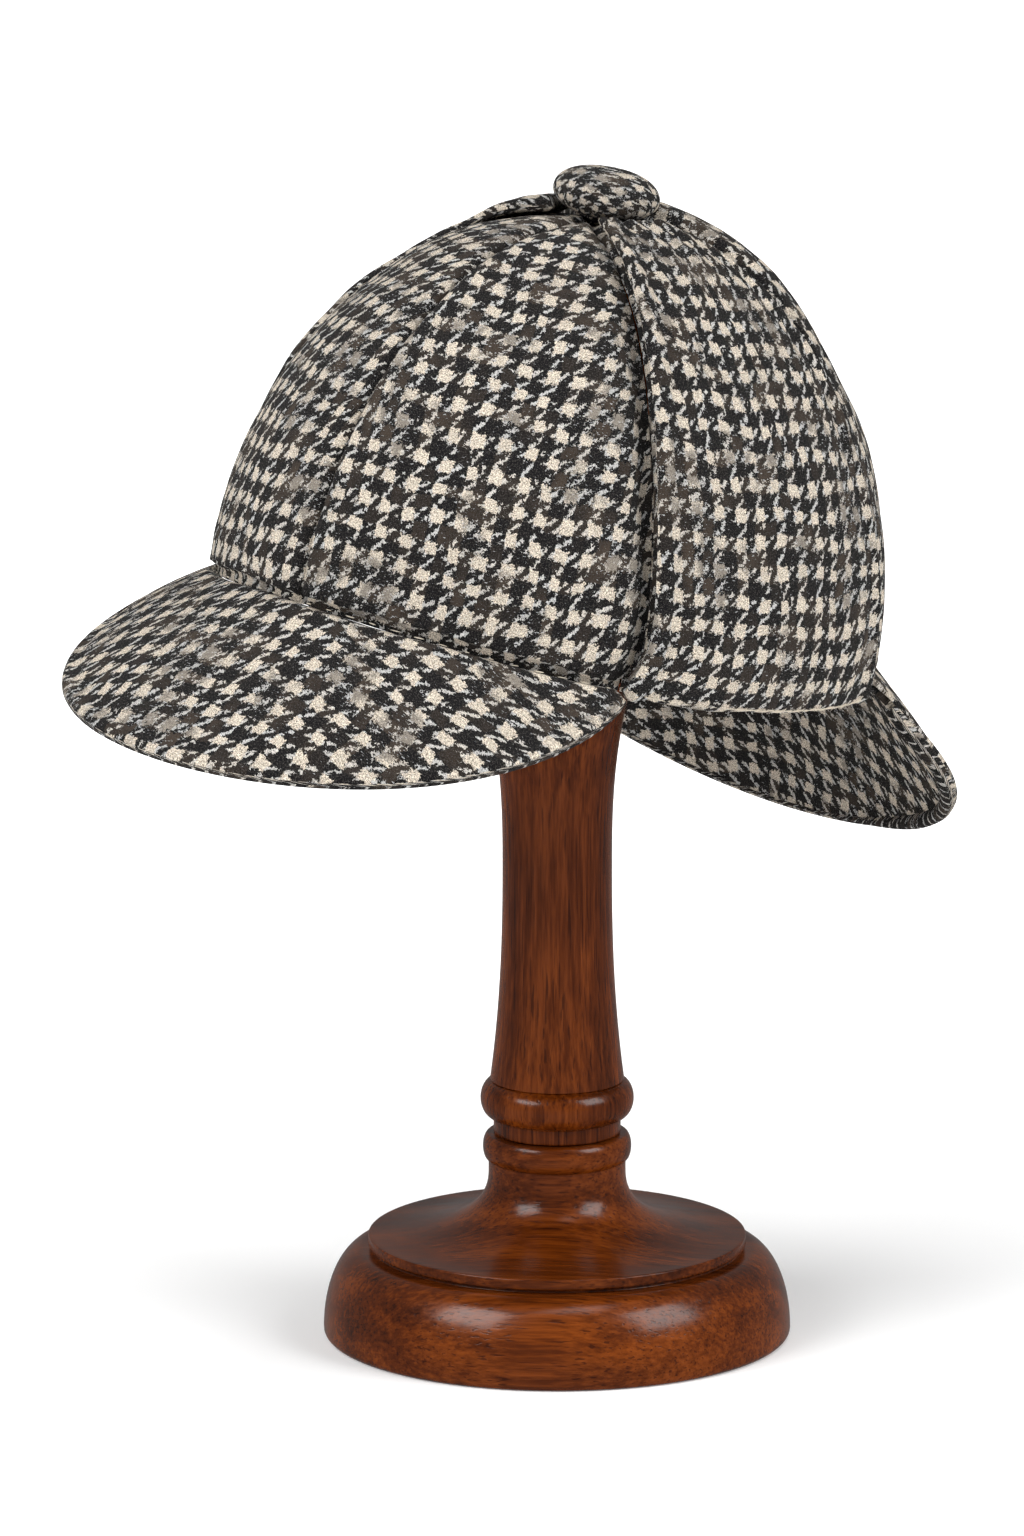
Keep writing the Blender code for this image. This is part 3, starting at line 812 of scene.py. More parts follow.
print("crown top:", [round(x / MM, 1) for x in on_the_stand(crown_points(0.0, 90.0))])

# %% [markdown]
# ## Making cloth with a thickness
#
# A piece of tweed here is a grid of points, its outer face, and a second grid a wall's thickness inside.
# Towards each edge the two faces come together in a round roll, because turned and sewn cloth has no sharp
# edge. The grid is finest near the edges, where the roll is.

# %% Cloth helpers


def fine_ends(count):
    """Shares from 0 to 1 that crowd together at both ends."""
    return (1.0 - np.cos(np.pi * np.arange(count + 1) / count)) / 2.0


def edge_swell(distance, roll):
    """0 at an edge, rising like a quarter circle to 1 at the roll's inner side."""
    short = 1.0 - np.clip(distance / roll, 0.0, 1.0)
    return np.sqrt(np.maximum(1.0 - short**2, 0.0))


def hump(distance, height, centre, width):
    """A soft ridge, or a valley if its height is negative."""
    return height * np.exp(-(((distance - centre) / width) ** 2))


def smooth_step(value, low, high):
    share = np.clip((value - low) / (high - low), 0.0, 1.0)
    return share * share * (3.0 - 2.0 * share)


def up_and_down(value, low, full, still_full, high):
    """Rises smoothly from 0 to 1 between the first two values, and falls between the last two."""
    return smooth_step(value, low, full) * (1.0 - smooth_step(value, still_full, high))


def lumps(points, height, size, seed):
    """Soft random lumps of the given size, between about minus and plus half the height."""
    shift = Vector((seed * 17.3, seed * 5.1, -seed * 9.7))
    flat = points.reshape(-1, 3) / size
    values = [noise.noise(Vector(point) + shift) for point in flat]
    return height * np.array(values).reshape(points.shape[:-1])


def outward_normals(face):
    across = np.gradient(face, axis=1)
    up = np.gradient(face, axis=0)
    normal = np.cross(across, up)
    return normal / np.linalg.norm(normal, axis=-1, keepdims=True)


def lengths_along(points, axis):
    """Distances along the grid, starting at 0."""
    steps = np.linalg.norm(np.diff(points, axis=axis), axis=-1)
    total = np.cumsum(steps, axis=axis)
    zero = np.zeros_like(np.take(total, [0], axis=axis))
    return np.concatenate([zero, total], axis=axis)


def tape_weave(face, repeat):
    """Map: across from the piece's centre line, along from its lower edge, in repeats of the check."""
    middle = face.shape[1] // 2
    across = lengths_along(face, 1)
    across = across - across[:, middle : middle + 1]
    along = lengths_along(face[:, middle : middle + 1], 0)
    return np.stack([across, np.broadcast_to(along, across.shape)], axis=-1) / np.array(repeat)


def cloth_faces(face, wall, swell, relief):
    """The outer and inner face of a cloth whose edges are rolled."""
    normal = outward_normals(face)
    half = np.broadcast_to(wall / 2, swell.shape)
    middle = face - normal * half[..., None]
    lifted = (half + relief) * swell
    return middle + normal * lifted[..., None], middle - normal * (half * swell)[..., None]


def corners_of(grid):
    return np.stack([grid[:-1, :-1], grid[:-1, 1:], grid[1:, 1:], grid[1:, :-1]], axis=2)


def cloth_piece(name, outer, inner, weave, lining_shift, node):
    """Joins the two faces at their shared edge into one closed mesh, and adds it as tweed."""
    rows, columns = outer.shape[:2]
    outer_index = np.arange(rows * columns).reshape(rows, columns)
    inner_index = outer_index.copy()
    inside = (rows - 2) * (columns - 2)
    inner_index[1:-1, 1:-1] = rows * columns + np.arange(inside).reshape(rows - 2, columns - 2)
    vertices = np.concatenate([outer.reshape(-1, 3), inner[1:-1, 1:-1].reshape(-1, 3)])
    outer_faces = corners_of(outer_index).reshape(-1, 4)
    inner_faces = corners_of(inner_index).reshape(-1, 4)[:, ::-1]
    faces = np.concatenate([outer_faces, inner_faces])
    mesh = bpy.data.meshes.new(name)
    mesh.from_pydata(on_the_stand(vertices).tolist(), [], faces.tolist())
    outer_map = corners_of(weave).reshape(-1, 4, 2)
    inner_map = corners_of(weave + np.array(lining_shift)).reshape(-1, 4, 2)[:, ::-1]
    layer = mesh.uv_layers.new(name="weave")
    layer.data.foreach_set("uv", np.concatenate([outer_map, inner_map]).astype(np.float32).ravel())
    return add_piece(name, mesh, tweed, "tweed", node)


# %% [markdown]
# ## The six crown panels
#
# The crown is sewn from six cloth gores that meet at the top. The seams draw the cloth in a little. Next to
# the ear flaps' edges it is drawn in more, and in the photograph a deep shadow lies there. Each panel's
# check runs straight along its own middle, because each is cut from flat cloth.

# %% Crown panels
SEAM_GAP = 0.25 * MM
SEAM_ROLL = 1.5 * MM
RIM_ROLL = 1.2 * MM
RIM_TURNED_IN_DEG = 1.9
RIM_CREASE = 3.0 * MM
RIM_CREASE_WIDTH = 0.6 * MM
RIM_OVERHANG = -0.6 * MM
SHANK_HOLE = 4.3 * MM
PANEL_GRID = (90, 72)
PANEL_CHECK_SHIFT = np.array([0.37, 0.21])
PANEL_LINING_SHIFT = (0.4, 0.3)
FLAP_FRONT_DEG = {1: 63.0, -1: 65.0}
FLAP_REAR_DEG = {1: 115.7, -1: 117.7}
FLAP_EDGE_LIFTS_DEG = (0.0, 2.0, 5.0, 10.0, 30.0, 50.0, 60.0, 70.0, 80.0)
FLAP_EDGE_SHIFTS_MM = (-1.2, 0.8, 2.6, 3.0, 0.7, -1.5, -2.6, -3.7, -4.8)
FAR_FLAP_SET_BACK = 5.0 * MM
FAR_FLAP_SET_BACK_LIFTS_DEG = (28.0, 45.0, 62.0, 76.0)
GROOVE_DEPTH = 4.2 * MM
GROOVE_WIDTH = 3.4 * MM
GROOVE_FLAT = 0.8 * MM
GROOVE_UNDER_FLAP = 3.0 * MM
GROOVE_TURNS_DEG = (20.0, 45.0)
GROOVE_TOP_DEG = 80.0
GROOVE_FADE_DEG = 30.0
GROOVE_LEAST = 0.25
FAR_GROOVE_LOSS = 0.85
FAR_GROOVE_LIFTS_DEG = (18.0, 36.0)
UNDER_FLAP_DIP = 0.8 * MM
UNDER_FLAP_FADE = 2.0 * MM
STRIP_BOUNDS = (0.9 * MM, 3.2 * MM, 9.0 * MM, 23.0 * MM)
STRIP_LIFTS_DEG = (0.0, 35.0, 50.0, 60.0, 70.0, 82.0)
STRIP_HEIGHTS_MM = (1.8, 2.1, 3.1, 4.4, 6.2, 7.0)
PANEL_TUCK = 0.9 * MM
PANEL_SEAM_WIDTH = 3.0 * MM
PANEL_LUMPS = (0.9 * MM, 26.0 * MM)
PANEL_RIPPLES = (0.45 * MM, 9.0 * MM)
PANEL_RIPPLES_HEIGHT = 30.0 * MM
PANEL_WELT = (0.35 * MM, 2.4 * MM, 1.6 * MM)

def radius_at(lift):
    return np.maximum(CROWN_HALF_WIDTH * np.cos(np.radians(lift)), SHANK_HOLE)


def flap_front_turn(side, lift):
    """The flap's front edge as a turn; side is 1 for the wearer's left and -1 for the right."""
    shift = np.interp(lift, FLAP_EDGE_LIFTS_DEG, FLAP_EDGE_SHIFTS_MM) * MM
    if side < 0:
        shift = shift + FAR_FLAP_SET_BACK * up_and_down(lift, *FAR_FLAP_SET_BACK_LIFTS_DEG)
    return FLAP_FRONT_DEG[side] + np.degrees(shift / radius_at(lift))


def flap_edge_relief(side, turn, lift):
    """The crown dips before a flap's front edge and stands up in a soft strip behind its rear edge."""
    before = np.radians(flap_front_turn(side, lift) - turn) * radius_at(lift)
    fade = np.clip((GROOVE_TOP_DEG - lift) / GROOVE_FADE_DEG, GROOVE_LEAST, 1.0)
    if side < 0:
        fade = fade * (1.0 - FAR_GROOVE_LOSS * smooth_step(lift, *FAR_GROOVE_LIFTS_DEG))
    dip = fade * hump(np.maximum(before - GROOVE_FLAT, 0.0), GROOVE_DEPTH, 0.0, GROOVE_WIDTH)
    dip = dip * smooth_step(turn, *GROOVE_TURNS_DEG) * smooth_step(before, -GROOVE_UNDER_FLAP, 0.0)
    behind = np.radians(turn - FLAP_REAR_DEG[side]) * radius_at(lift)
    height = np.interp(lift, STRIP_LIFTS_DEG, STRIP_HEIGHTS_MM) * MM
    strip = height * up_and_down(behind, *STRIP_BOUNDS)
    under_flap = smooth_step(-before, 0.0, UNDER_FLAP_FADE) * smooth_step(-behind, 0.0, UNDER_FLAP_FADE)
    return strip - dip - UNDER_FLAP_DIP * under_flap * (1.0 - dip / GROOVE_DEPTH)


def crown_panel(name, side, place, seed):
    """place 0 is the front panel, 1 the side panel under the flap, 2 the back panel."""
    rows, columns = PANEL_GRID
    top_lift = lift_at_radius(SHANK_HOLE)
    lift = (-RIM_TURNED_IN_DEG + (top_lift + RIM_TURNED_IN_DEG) * fine_ends(rows))[:, None]
    radius = CROWN_HALF_WIDTH * np.cos(np.radians(lift))
    under_flap = flap_front_turn(side, lift) + np.degrees(PANEL_TUCK / radius)
    seams = (0.0, under_flap, FLAP_REAR_DEG[side], 180.0)
    gap_turn = np.degrees(SEAM_GAP / 2 / radius)
    start = seams[place] + gap_turn
    end = seams[place + 1] - gap_turn
    share = fine_ends(columns)[None, :]
    turn = start + share * (end - start)
    width = np.radians(end - start) * radius
    from_seam = np.minimum(share, 1.0 - share) * width
    from_rim = np.radians(lift + RIM_TURNED_IN_DEG) * CROWN_RISE
    from_top = np.radians(top_lift - lift) * CROWN_RISE
    lift = np.broadcast_to(lift, turn.shape)
    above_seam = from_rim - np.radians(RIM_TURNED_IN_DEG) * CROWN_RISE - RIM_OVERHANG
    proud = flap_edge_relief(side, turn, lift)
    proud = proud - hump(from_seam, PANEL_SEAM_DEPTH, 0.0, PANEL_SEAM_WIDTH)
    proud = proud - hump(np.maximum(above_seam, 0.0), RIM_CREASE, 0.0, RIM_CREASE_WIDTH)
    face = crown_points(side * turn, lift, proud)
    if side < 0:
        face, from_seam, turn = face[:, ::-1], from_seam[:, ::-1], turn[:, ::-1]
    swell = edge_swell(from_seam, SEAM_ROLL) * edge_swell(from_rim, RIM_ROLL)
    swell = swell * edge_swell(from_top, SEAM_ROLL)
    low = np.clip(1.0 - from_rim / PANEL_RIPPLES_HEIGHT, 0.0, 1.0)
    relief = lumps(face, *PANEL_LUMPS, seed) + hump(from_seam, *PANEL_WELT)
    relief = relief + lumps(face, *PANEL_RIPPLES, seed + 0.5) * (0.5 + low)
    outer, inner = cloth_faces(face, CROWN_WALL, swell, relief)
    weave = tape_weave(outer, PANEL_REPEAT) + PANEL_CHECK_SHIFT * seed
    return cloth_piece(name, outer, inner, weave, PANEL_LINING_SHIFT, name.replace("tweed", "crown"))


crown_panels = []
for place, place_name in enumerate(("front", "side", "back")):
    for side, side_name in ((1, "left"), (-1, "right")):
        panel_name = "tweed_panel_" + place_name + "_" + side_name
        crown_panels.append(crown_panel(panel_name, side, place, len(crown_panels) + 1))

# %% [markdown]
# ## The two peaks
#
# A deerstalker shades the eyes and the neck alike. Each peak is a stiffened crescent, sewn under the
# crown's rim. The front one slopes gently, the rear one hangs steeply, and both run out to nothing at
# their ends. They are cut from flat cloth, so the check runs straight across them: the map unrolls the
# sloping crescent as one unrolls a paper cone. The free edge is a firm welt with a soft valley inside it.

# %% Peaks
PEAK_END_WIDTH = 4.0 * MM
PEAK_THICKNESS = 3.0 * MM
PEAK_TUCK = 3.0 * MM
PEAK_BULGE = 2.0 * MM
PEAK_GRID = (48, 140)
PEAK_LUMPS = (0.8 * MM, 30.0 * MM)
PEAK_FLAT_EDGE = 8.0 * MM
PEAK_WELT = (0.45 * MM, 2.4 * MM, 1.5 * MM)
PEAK_VALLEY = (-0.40 * MM, 6.0 * MM, 1.7 * MM)
HIDDEN_ROLL = 0.8 * MM
PEAK_LINING_SHIFT = (0.45, 0.2)

edge_lines = {}


def outward_from_rim(turn):
    ahead = crown_points(turn + 0.5, 0.0) - crown_points(turn - 0.5, 0.0)
    out = np.stack([ahead[..., 1], -ahead[..., 0], np.zeros_like(ahead[..., 0])], axis=-1)
    return out / np.linalg.norm(out, axis=-1, keepdims=True)


def cloth_peak(
    name, middle_turn, span, width, slope, end_slope, pointedness, roll, repeat, level_seat, cord_at, seed
):
    """A crescent round the rim.

    Slopes are in degrees, at its middle and at its ends. level_seat is 1 for a peak whose sewn edge lies
    level under the rim, or 0. cord_at is how far in and how far under the free edge its cord lies.
    """
    rows, columns = PEAK_GRID
    across = np.sin(np.linspace(-0.5, 0.5, columns + 1) * np.pi)[None, :]
    turn = middle_turn + across * span / 2
    local_slope = np.radians(slope + (end_slope - slope) * across**2)
    full = PEAK_END_WIDTH + (width - PEAK_END_WIDTH) * np.maximum(1.0 - across**2, 0.0) ** pointedness
    run_length = full + PEAK_TUCK
    along = run_length * (1.0 - fine_ends(rows))[:, None]
    share = np.clip((along - PEAK_TUCK) / full, 0.0, 1.0)
    turn, local_slope, full, along, share = np.broadcast_arrays(turn, local_slope, full, along, share)
    out = outward_from_rim(turn)
    seat = crown_points(turn, 0.0) - out * PEAK_TUCK - UPWARDS * GAP
    run = out * np.cos(local_slope)[..., None] - UPWARDS * np.sin(local_slope)[..., None]
    up = out * np.sin(local_slope)[..., None] + UPWARDS * np.cos(local_slope)[..., None]
    bulge = PEAK_BULGE * (full / width) * 4.0 * share * (1.0 - share)
    face = seat + run * along[..., None] + up * bulge[..., None]
    under_rim = np.maximum(PEAK_TUCK / np.cos(local_slope) - along, 0.0) * np.sin(local_slope)
    face = face - UPWARDS * (level_seat * under_rim)[..., None]
    from_edge = full + PEAK_TUCK - along
    from_end = (1.0 - np.abs(across)) * np.radians(span / 2) * CROWN_HALF_LENGTH
    swell = edge_swell(from_edge, roll) * edge_swell(from_end, roll) * edge_swell(along, HIDDEN_ROLL)
    relief = lumps(face, *PEAK_LUMPS, seed) * np.clip(from_edge / PEAK_FLAT_EDGE, 0.0, 1.0)
    relief = relief + hump(from_edge, *PEAK_WELT) + hump(from_edge, *PEAK_VALLEY)
    outer, inner = cloth_faces(face, PEAK_THICKNESS, swell, relief)
    edge_lines[name] = on_the_stand((outer[0] - run[0] * cord_at[0] - up[0] * cord_at[1])[3:-3])
    cone = math.cos(math.radians((slope + end_slope) / 2))
    rim_radius = np.linalg.norm(seat[..., :2], axis=-1)
    unrolled = rim_radius / cone + along
    fan = np.radians(turn - middle_turn) * cone
    weave = np.stack([unrolled * np.sin(fan), -unrolled * np.cos(fan)], axis=-1) / np.array(repeat)
    return cloth_piece(name, outer, inner, weave, PEAK_LINING_SHIFT, name.replace("tweed_", ""))


front_peak = cloth_peak(
    "tweed_front_peak",
    middle_turn=0.0,
    span=124.5,
    width=65.0 * MM,
    slope=41.0,
    end_slope=36.0,
    pointedness=0.91,
    roll=1.9 * MM,
    repeat=FRONT_PEAK_REPEAT,
    level_seat=1.0,
    cord_at=(1.5 * MM, 0.0),
    seed=11,
)
rear_peak = cloth_peak(
    "tweed_rear_peak",
    middle_turn=180.0,
    span=103.0,
    width=66.0 * MM,
    slope=66.0,
    end_slope=37.0,
    pointedness=0.38,
    roll=1.3 * MM,
    repeat=REAR_PEAK_REPEAT,
    level_seat=0.0,
    cord_at=(1.9 * MM, 0.8 * MM),
    seed=12,
)

# %% [markdown]
# ## The ear flaps
#
# In cold weather the flaps come down over the ears. Here they are folded up: each starts with a lip under
# the crown's rim, turns round a soft fold, lies up against the crown and ends under the button. The turned
# edge is a raised welt with a valley beside it. Near the button the cloth is gathered in folds.

# %% Ear flaps
FLAP_THICKNESS = 3.2 * MM
FLAP_FOLD_INNER_RADIUS = 0.7 * MM
FLAP_TIP_STANDOFF = 0.5 * MM
FLAP_TIP_RADIUS = 12.5 * MM
FLAP_LIP = 2.2 * MM
FLAP_ROLL = 2.4 * MM
FLAP_COLUMNS = 80
FLAP_NARROWING = 0.35
FLAP_TOP_THICKNESS = 1.3 * MM
FLAP_TOP_SINK = 1.2 * MM
FLAP_FOLD_STEPS = 12
FLAP_LIP_SHARES = (0.0, 0.02, 0.08, 0.3, 0.65)
FLAP_ROWS = 96
FLAP_THINNED_LIFTS_DEG = (42.0, 56.0, 64.0, 76.0)
FLAP_GATHERS = 5.0
FLAP_GATHERS_START = 1.3
FLAP_GATHER_HEIGHT = 0.75 * MM
FLAP_GATHERS_FROM_DEG = 46.0
FLAP_GATHERS_FULL_DEG = 80.0
FLAP_LUMPS = (0.9 * MM, 28.0 * MM)
FLAP_RIPPLES = (0.3 * MM, 8.0 * MM)
FLAP_WELT = (0.75 * MM, 2.9 * MM, 1.7 * MM)
FLAP_VALLEY = (-0.55 * MM, 7.0 * MM, 1.6 * MM)
FLAP_CHECK_SHIFT = (0.3, 0.1)
FLAP_LINING_SHIFT = (0.5, 0.25)


def flap_path():
    """Rows of (lift, proud, height) from the lip round the fold and up the crown, on the outer face."""
    standoff = FLAP_FOLD_INNER_RADIUS + GAP
    radius = FLAP_FOLD_INNER_RADIUS + FLAP_THICKNESS
    underside = -GAP - FLAP_THICKNESS
    rows = [(0.0, -FLAP_LIP + FLAP_LIP * share, underside) for share in FLAP_LIP_SHARES]
    for step in range(FLAP_FOLD_STEPS + 1):
        angle = math.radians(-90.0 + 90.0 * step / FLAP_FOLD_STEPS)
        proud = GAP + radius * math.cos(angle)
        rows.append((0.0, proud, underside + radius + radius * math.sin(angle)))
    first_lift = math.degrees(math.asin(rows[-1][2] / CROWN_RISE))
    top_lift = lift_at_radius(FLAP_TIP_RADIUS)
    for share in np.sin(np.linspace(0.0, 0.5, FLAP_ROWS + 1) * np.pi)[1:]:
        lift = first_lift + (top_lift - first_lift) * share
        clearance = standoff + (FLAP_TIP_STANDOFF - standoff) * share**4
        rows.append((lift, clearance + FLAP_THICKNESS, 0.0))
    return np.array(rows)


def ear_flap(name, side, seed):
    path = flap_path()
    share = fine_ends(FLAP_COLUMNS)[None, :]
    lift, proud, height = (path[:, column][:, None] for column in range(3))
    front = flap_front_turn(side, lift)
    turn = side * (front + share * (FLAP_REAR_DEG[side] - front))
    wall = FLAP_THICKNESS + 0.0 * lift
    if side < 0:
        turn = turn[:, ::-1]
        thinned = up_and_down(lift, *FLAP_THINNED_LIFTS_DEG)
        wall = wall - (FLAP_THICKNESS - FLAP_TOP_THICKNESS) * thinned
        proud = proud - (FLAP_THICKNESS - wall) - FLAP_TOP_SINK * thinned
    face = crown_points(turn, lift, proud) + height[..., None] * UPWARDS
    width = lengths_along(face, 1)[:, -1:]
    from_side = np.minimum(share, 1.0 - share) * width
    up_length = lengths_along(face[:, FLAP_COLUMNS // 2 : FLAP_COLUMNS // 2 + 1], 0)
    from_tip = up_length[-1] - up_length
    roll = np.minimum(FLAP_ROLL, 0.3 * width)
    swell = edge_swell(from_side, roll) * edge_swell(up_length, HIDDEN_ROLL)
    swell = swell * edge_swell(from_tip, FLAP_ROLL)
    gather_run = FLAP_GATHERS_FULL_DEG - FLAP_GATHERS_FROM_DEG
    near_top = np.clip((lift - FLAP_GATHERS_FROM_DEG) / gather_run, 0.0, 1.0) ** 1.5
    gathers = np.sin(2.0 * np.pi * FLAP_GATHERS * share + FLAP_GATHERS_START) * near_top
    relief = lumps(face, *FLAP_LUMPS, seed) + lumps(face, *FLAP_RIPPLES, seed + 0.5)
    relief = relief + FLAP_GATHER_HEIGHT * gathers
    relief = relief + hump(from_side, *FLAP_WELT) + hump(from_side, *FLAP_VALLEY)
    outer, inner = cloth_faces(face, wall, swell, relief)
    weave = tape_weave(outer, FLAP_REPEAT)
    squeeze = (width.max() / width) ** FLAP_NARROWING
    weave[..., 0] = weave[..., 0] * squeeze
    weave = weave + np.array([FLAP_CHECK_SHIFT[0], FLAP_CHECK_SHIFT[1] * seed])
    node = name.replace("tweed_flap", "ear_flap")
    return cloth_piece(name, outer, inner, weave, FLAP_LINING_SHIFT, node)


flap_left = ear_flap("tweed_flap_left", 1, 21)
flap_right = ear_flap("tweed_flap_right", -1, 22)

# %% [markdown]
# ## The button, with Geometry Nodes
#
# A disc of tweed is pulled over a round core and gathered underneath, so its lower side has radial
# gathers. That follows a rule, so a node tree makes it: a ball is squashed to the button's radius and
# height, and a wave round the axis, stronger further down, presses the gathers in. The same tree stores
# the weave map, as if the disc were laid flat.

# %% Geometry tree helpers


def new_tree(name, inputs):
    """A geometry tree with named inputs; returns it and the inputs as its nodes see them."""
    tree = bpy.data.node_groups.new(name, "GeometryNodeTree")
    for in_out in ("INPUT", "OUTPUT"):
        tree.interface.new_socket(name="Geometry", in_out=in_out, socket_type="NodeSocketGeometry")
    for label, value in inputs.items():
        kind = "NodeSocketInt" if isinstance(value, int) else "NodeSocketFloat"
        socket = tree.interface.new_socket(name=label, in_out="INPUT", socket_type=kind)
        socket.default_value = value
    return tree, tree.nodes.new("NodeGroupInput").outputs


def stored_weave(geometry, across, along):
    """Stores the weave map on a tree's mesh."""
    tree = geometry.id_data
    cloth_map = add_node(tree, "ShaderNodeCombineXYZ", {0: across, 1: along})
    store = tree.nodes.new("GeometryNodeStoreNamedAttribute")
    store.data_type = "FLOAT2"
    store.domain = "CORNER"
    fill_sockets(store.inputs, {"Geometry": geometry, "Name": "weave", "Value": cloth_map.outputs[0]})
    return store.outputs["Geometry"]


def end_tree(geometry, material):
    """Makes copies real, paints the result and hands it over."""
    tree = geometry.id_data
    real = add_node(tree, "GeometryNodeRealizeInstances", {"Geometry": geometry})
    inputs = {"Geometry": real.outputs["Geometry"], "Material": material}
    paint = add_node(tree, "GeometryNodeSetMaterial", inputs)
    add_node(tree, "NodeGroupOutput", {0: paint.outputs["Geometry"]})


def points_of(mesh):
    flat = np.empty(len(mesh.vertices) * 3)
    mesh.vertices.foreach_get("co", flat)
    return flat.reshape(-1, 3)


def move_points(mesh, points):
    mesh.vertices.foreach_set("co", points.astype(np.float32).ravel())


def made_mesh(name, tree, values, start_mesh):
    """Runs a tree on a mesh and returns the result as a plain mesh."""
    holder = bpy.data.objects.new(name + "_maker", start_mesh)
    bpy.context.scene.collection.objects.link(holder)
    modifier = holder.modifiers.new(name, "NODES")
    modifier.node_group = tree
    for socket in tree.interface.items_tree:
        if socket.in_out == "INPUT" and socket.name in values:
            modifier[socket.identifier] = values[socket.name]
    graph = bpy.context.evaluated_depsgraph_get()
    result = bpy.data.meshes.new_from_object(holder.evaluated_get(graph))
    bpy.data.objects.remove(holder)
    result.name = name
    return result


# %% Button
BUTTON_RADIUS = 15.0 * MM
BUTTON_HEIGHT = 14.2 * MM
BUTTON_LIFT = 7.0 * MM
BUTTON_GATHERS = 19.0
BUTTON_GATHER_DEPTH = 0.55 * MM
BUTTON_FULLNESS = 0.82
BUTTON_FLAT_BOTTOM = -0.93
BUTTON_GATHERS_LOWER = (0.62, -0.72)
BUTTON_SLOW_WAVE = (7.0, 0.8)
BUTTON_SLOW_SHARE = 0.45
BUTTON_CLOTH_RUN = 0.81
BUTTON_SEGMENTS = 152
BUTTON_RINGS = 72


def button_tree():
    inputs = {
        "Radius": BUTTON_RADIUS,
        "Height": BUTTON_HEIGHT,
        "Gathers": BUTTON_GATHERS,
        "Gather Depth": BUTTON_GATHER_DEPTH,
        "Repeat": BUTTON_REPEAT,
    }
    tree, given = new_tree("gathered_button", inputs)
    sphere = {"Segments": BUTTON_SEGMENTS, "Rings": BUTTON_RINGS, "Radius": 1.0}
    ball = add_node(tree, "GeometryNodeMeshUVSphere", sphere)
    position = tree.nodes.new("GeometryNodeInputPosition").outputs[0]
    x, y, z = add_node(tree, "ShaderNodeSeparateXYZ", {0: position}).outputs
    angle = calc("ARCTAN2", y, x)
    polar = calc("ARCCOSINE", calc("MAXIMUM", calc("MINIMUM", z, 1.0), -1.0))
    fullness = calc("POWER", calc("MAXIMUM", calc("SINE", polar), 0.0), BUTTON_FULLNESS)
    lower = calc("MAXIMUM", calc("MULTIPLY_ADD", polar, *BUTTON_GATHERS_LOWER), 0.0)
    lower = calc("MINIMUM", lower, 1.0)
    wave = calc("COSINE", calc("MULTIPLY", angle, given["Gathers"]))
    slow_wave = calc("SINE", calc("MULTIPLY_ADD", angle, *BUTTON_SLOW_WAVE))
    wave = calc("MULTIPLY_ADD", slow_wave, BUTTON_SLOW_SHARE, wave)
    pressed = calc("MULTIPLY", wave, given["Gather Depth"])
    gathered = calc("MULTIPLY", calc("MULTIPLY", pressed, lower), fullness)
    radius = calc("ADD", calc("MULTIPLY", fullness, given["Radius"]), gathered)
    half_height = calc("MULTIPLY", given["Height"], 0.5)
    flat_bottom = calc("MULTIPLY", half_height, BUTTON_FLAT_BOTTOM)
    quarter = calc("MULTIPLY", calc("ADD", given["Radius"], half_height), BUTTON_CLOTH_RUN)
    run = calc("MULTIPLY", calc("DIVIDE", polar, math.pi / 2), quarter)
    along = calc("DIVIDE", run, given["Repeat"])
    cosine = calc("COSINE", angle)
    sine = calc("SINE", angle)
    shape = {
        0: calc("MULTIPLY", radius, cosine),
        1: calc("MULTIPLY", radius, sine),
        2: calc("MAXIMUM", calc("MULTIPLY", z, half_height), flat_bottom),
    }
    shaped = add_node(tree, "ShaderNodeCombineXYZ", shape)
    woven = stored_weave(
        ball.outputs["Mesh"], calc("MULTIPLY", along, cosine), calc("MULTIPLY", along, sine)
    )
    moved = {"Geometry": woven, "Position": shaped.outputs[0]}
    end_tree(add_node(tree, "GeometryNodeSetPosition", moved).outputs["Geometry"], tweed)
    return tree


def cloth_button():
    start = bpy.data.meshes.new("button_start")
    mesh = made_mesh("tweed_button", button_tree(), {"Gathers": BUTTON_GATHERS}, start)
    centre = crown_points(0.0, 90.0) + np.array([0.0, 0.0, BUTTON_LIFT])
    move_points(mesh, on_the_stand(points_of(mesh) + centre))
    return add_piece("tweed_button", mesh, tweed, "tweed", "crown_button")


button = cloth_button()

# %% [markdown]
# ## Turned edges and stitches, with Geometry Nodes
#
# Along the peaks' free edges the cloth is turned over a cord, so that the check shows there as slanting
# stripes. A node tree sweeps a small circle along the edge's line and stores a slanting weave map. A second
# tree walks along the seam between crown and front peak and sets down small slip stitches.

# %% Turned edges
CORD_SIDES = 12
CORD_RADIUS = 1.6 * MM
CORD_STRIPE = 5.0 * MM
REAR_CORD_RADIUS = 2.3 * MM
REAR_CORD_STRIPE = 4.2 * MM
REAR_CORD_WHOLE_SHARE = 0.3
CORD_SLANT = 0.8
CORD_WEFT_RUN = (0.26, 0.2)
CORD_END_LOSS = 0.67
CORD_END_FADE = 0.15


def measured_curve(curve, name):
    """Marks each point of a curve with its distance along it; returns the curve and the marks."""
    way = curve.id_data.nodes.new("GeometryNodeSplineParameter")
    mark = curve.id_data.nodes.new("GeometryNodeCaptureAttribute")
    mark.capture_items.new("FLOAT", name)
    fill_sockets(mark.inputs, {"Geometry": curve, name: way.outputs["Length"]})
    return mark.outputs["Geometry"], mark.outputs[name]


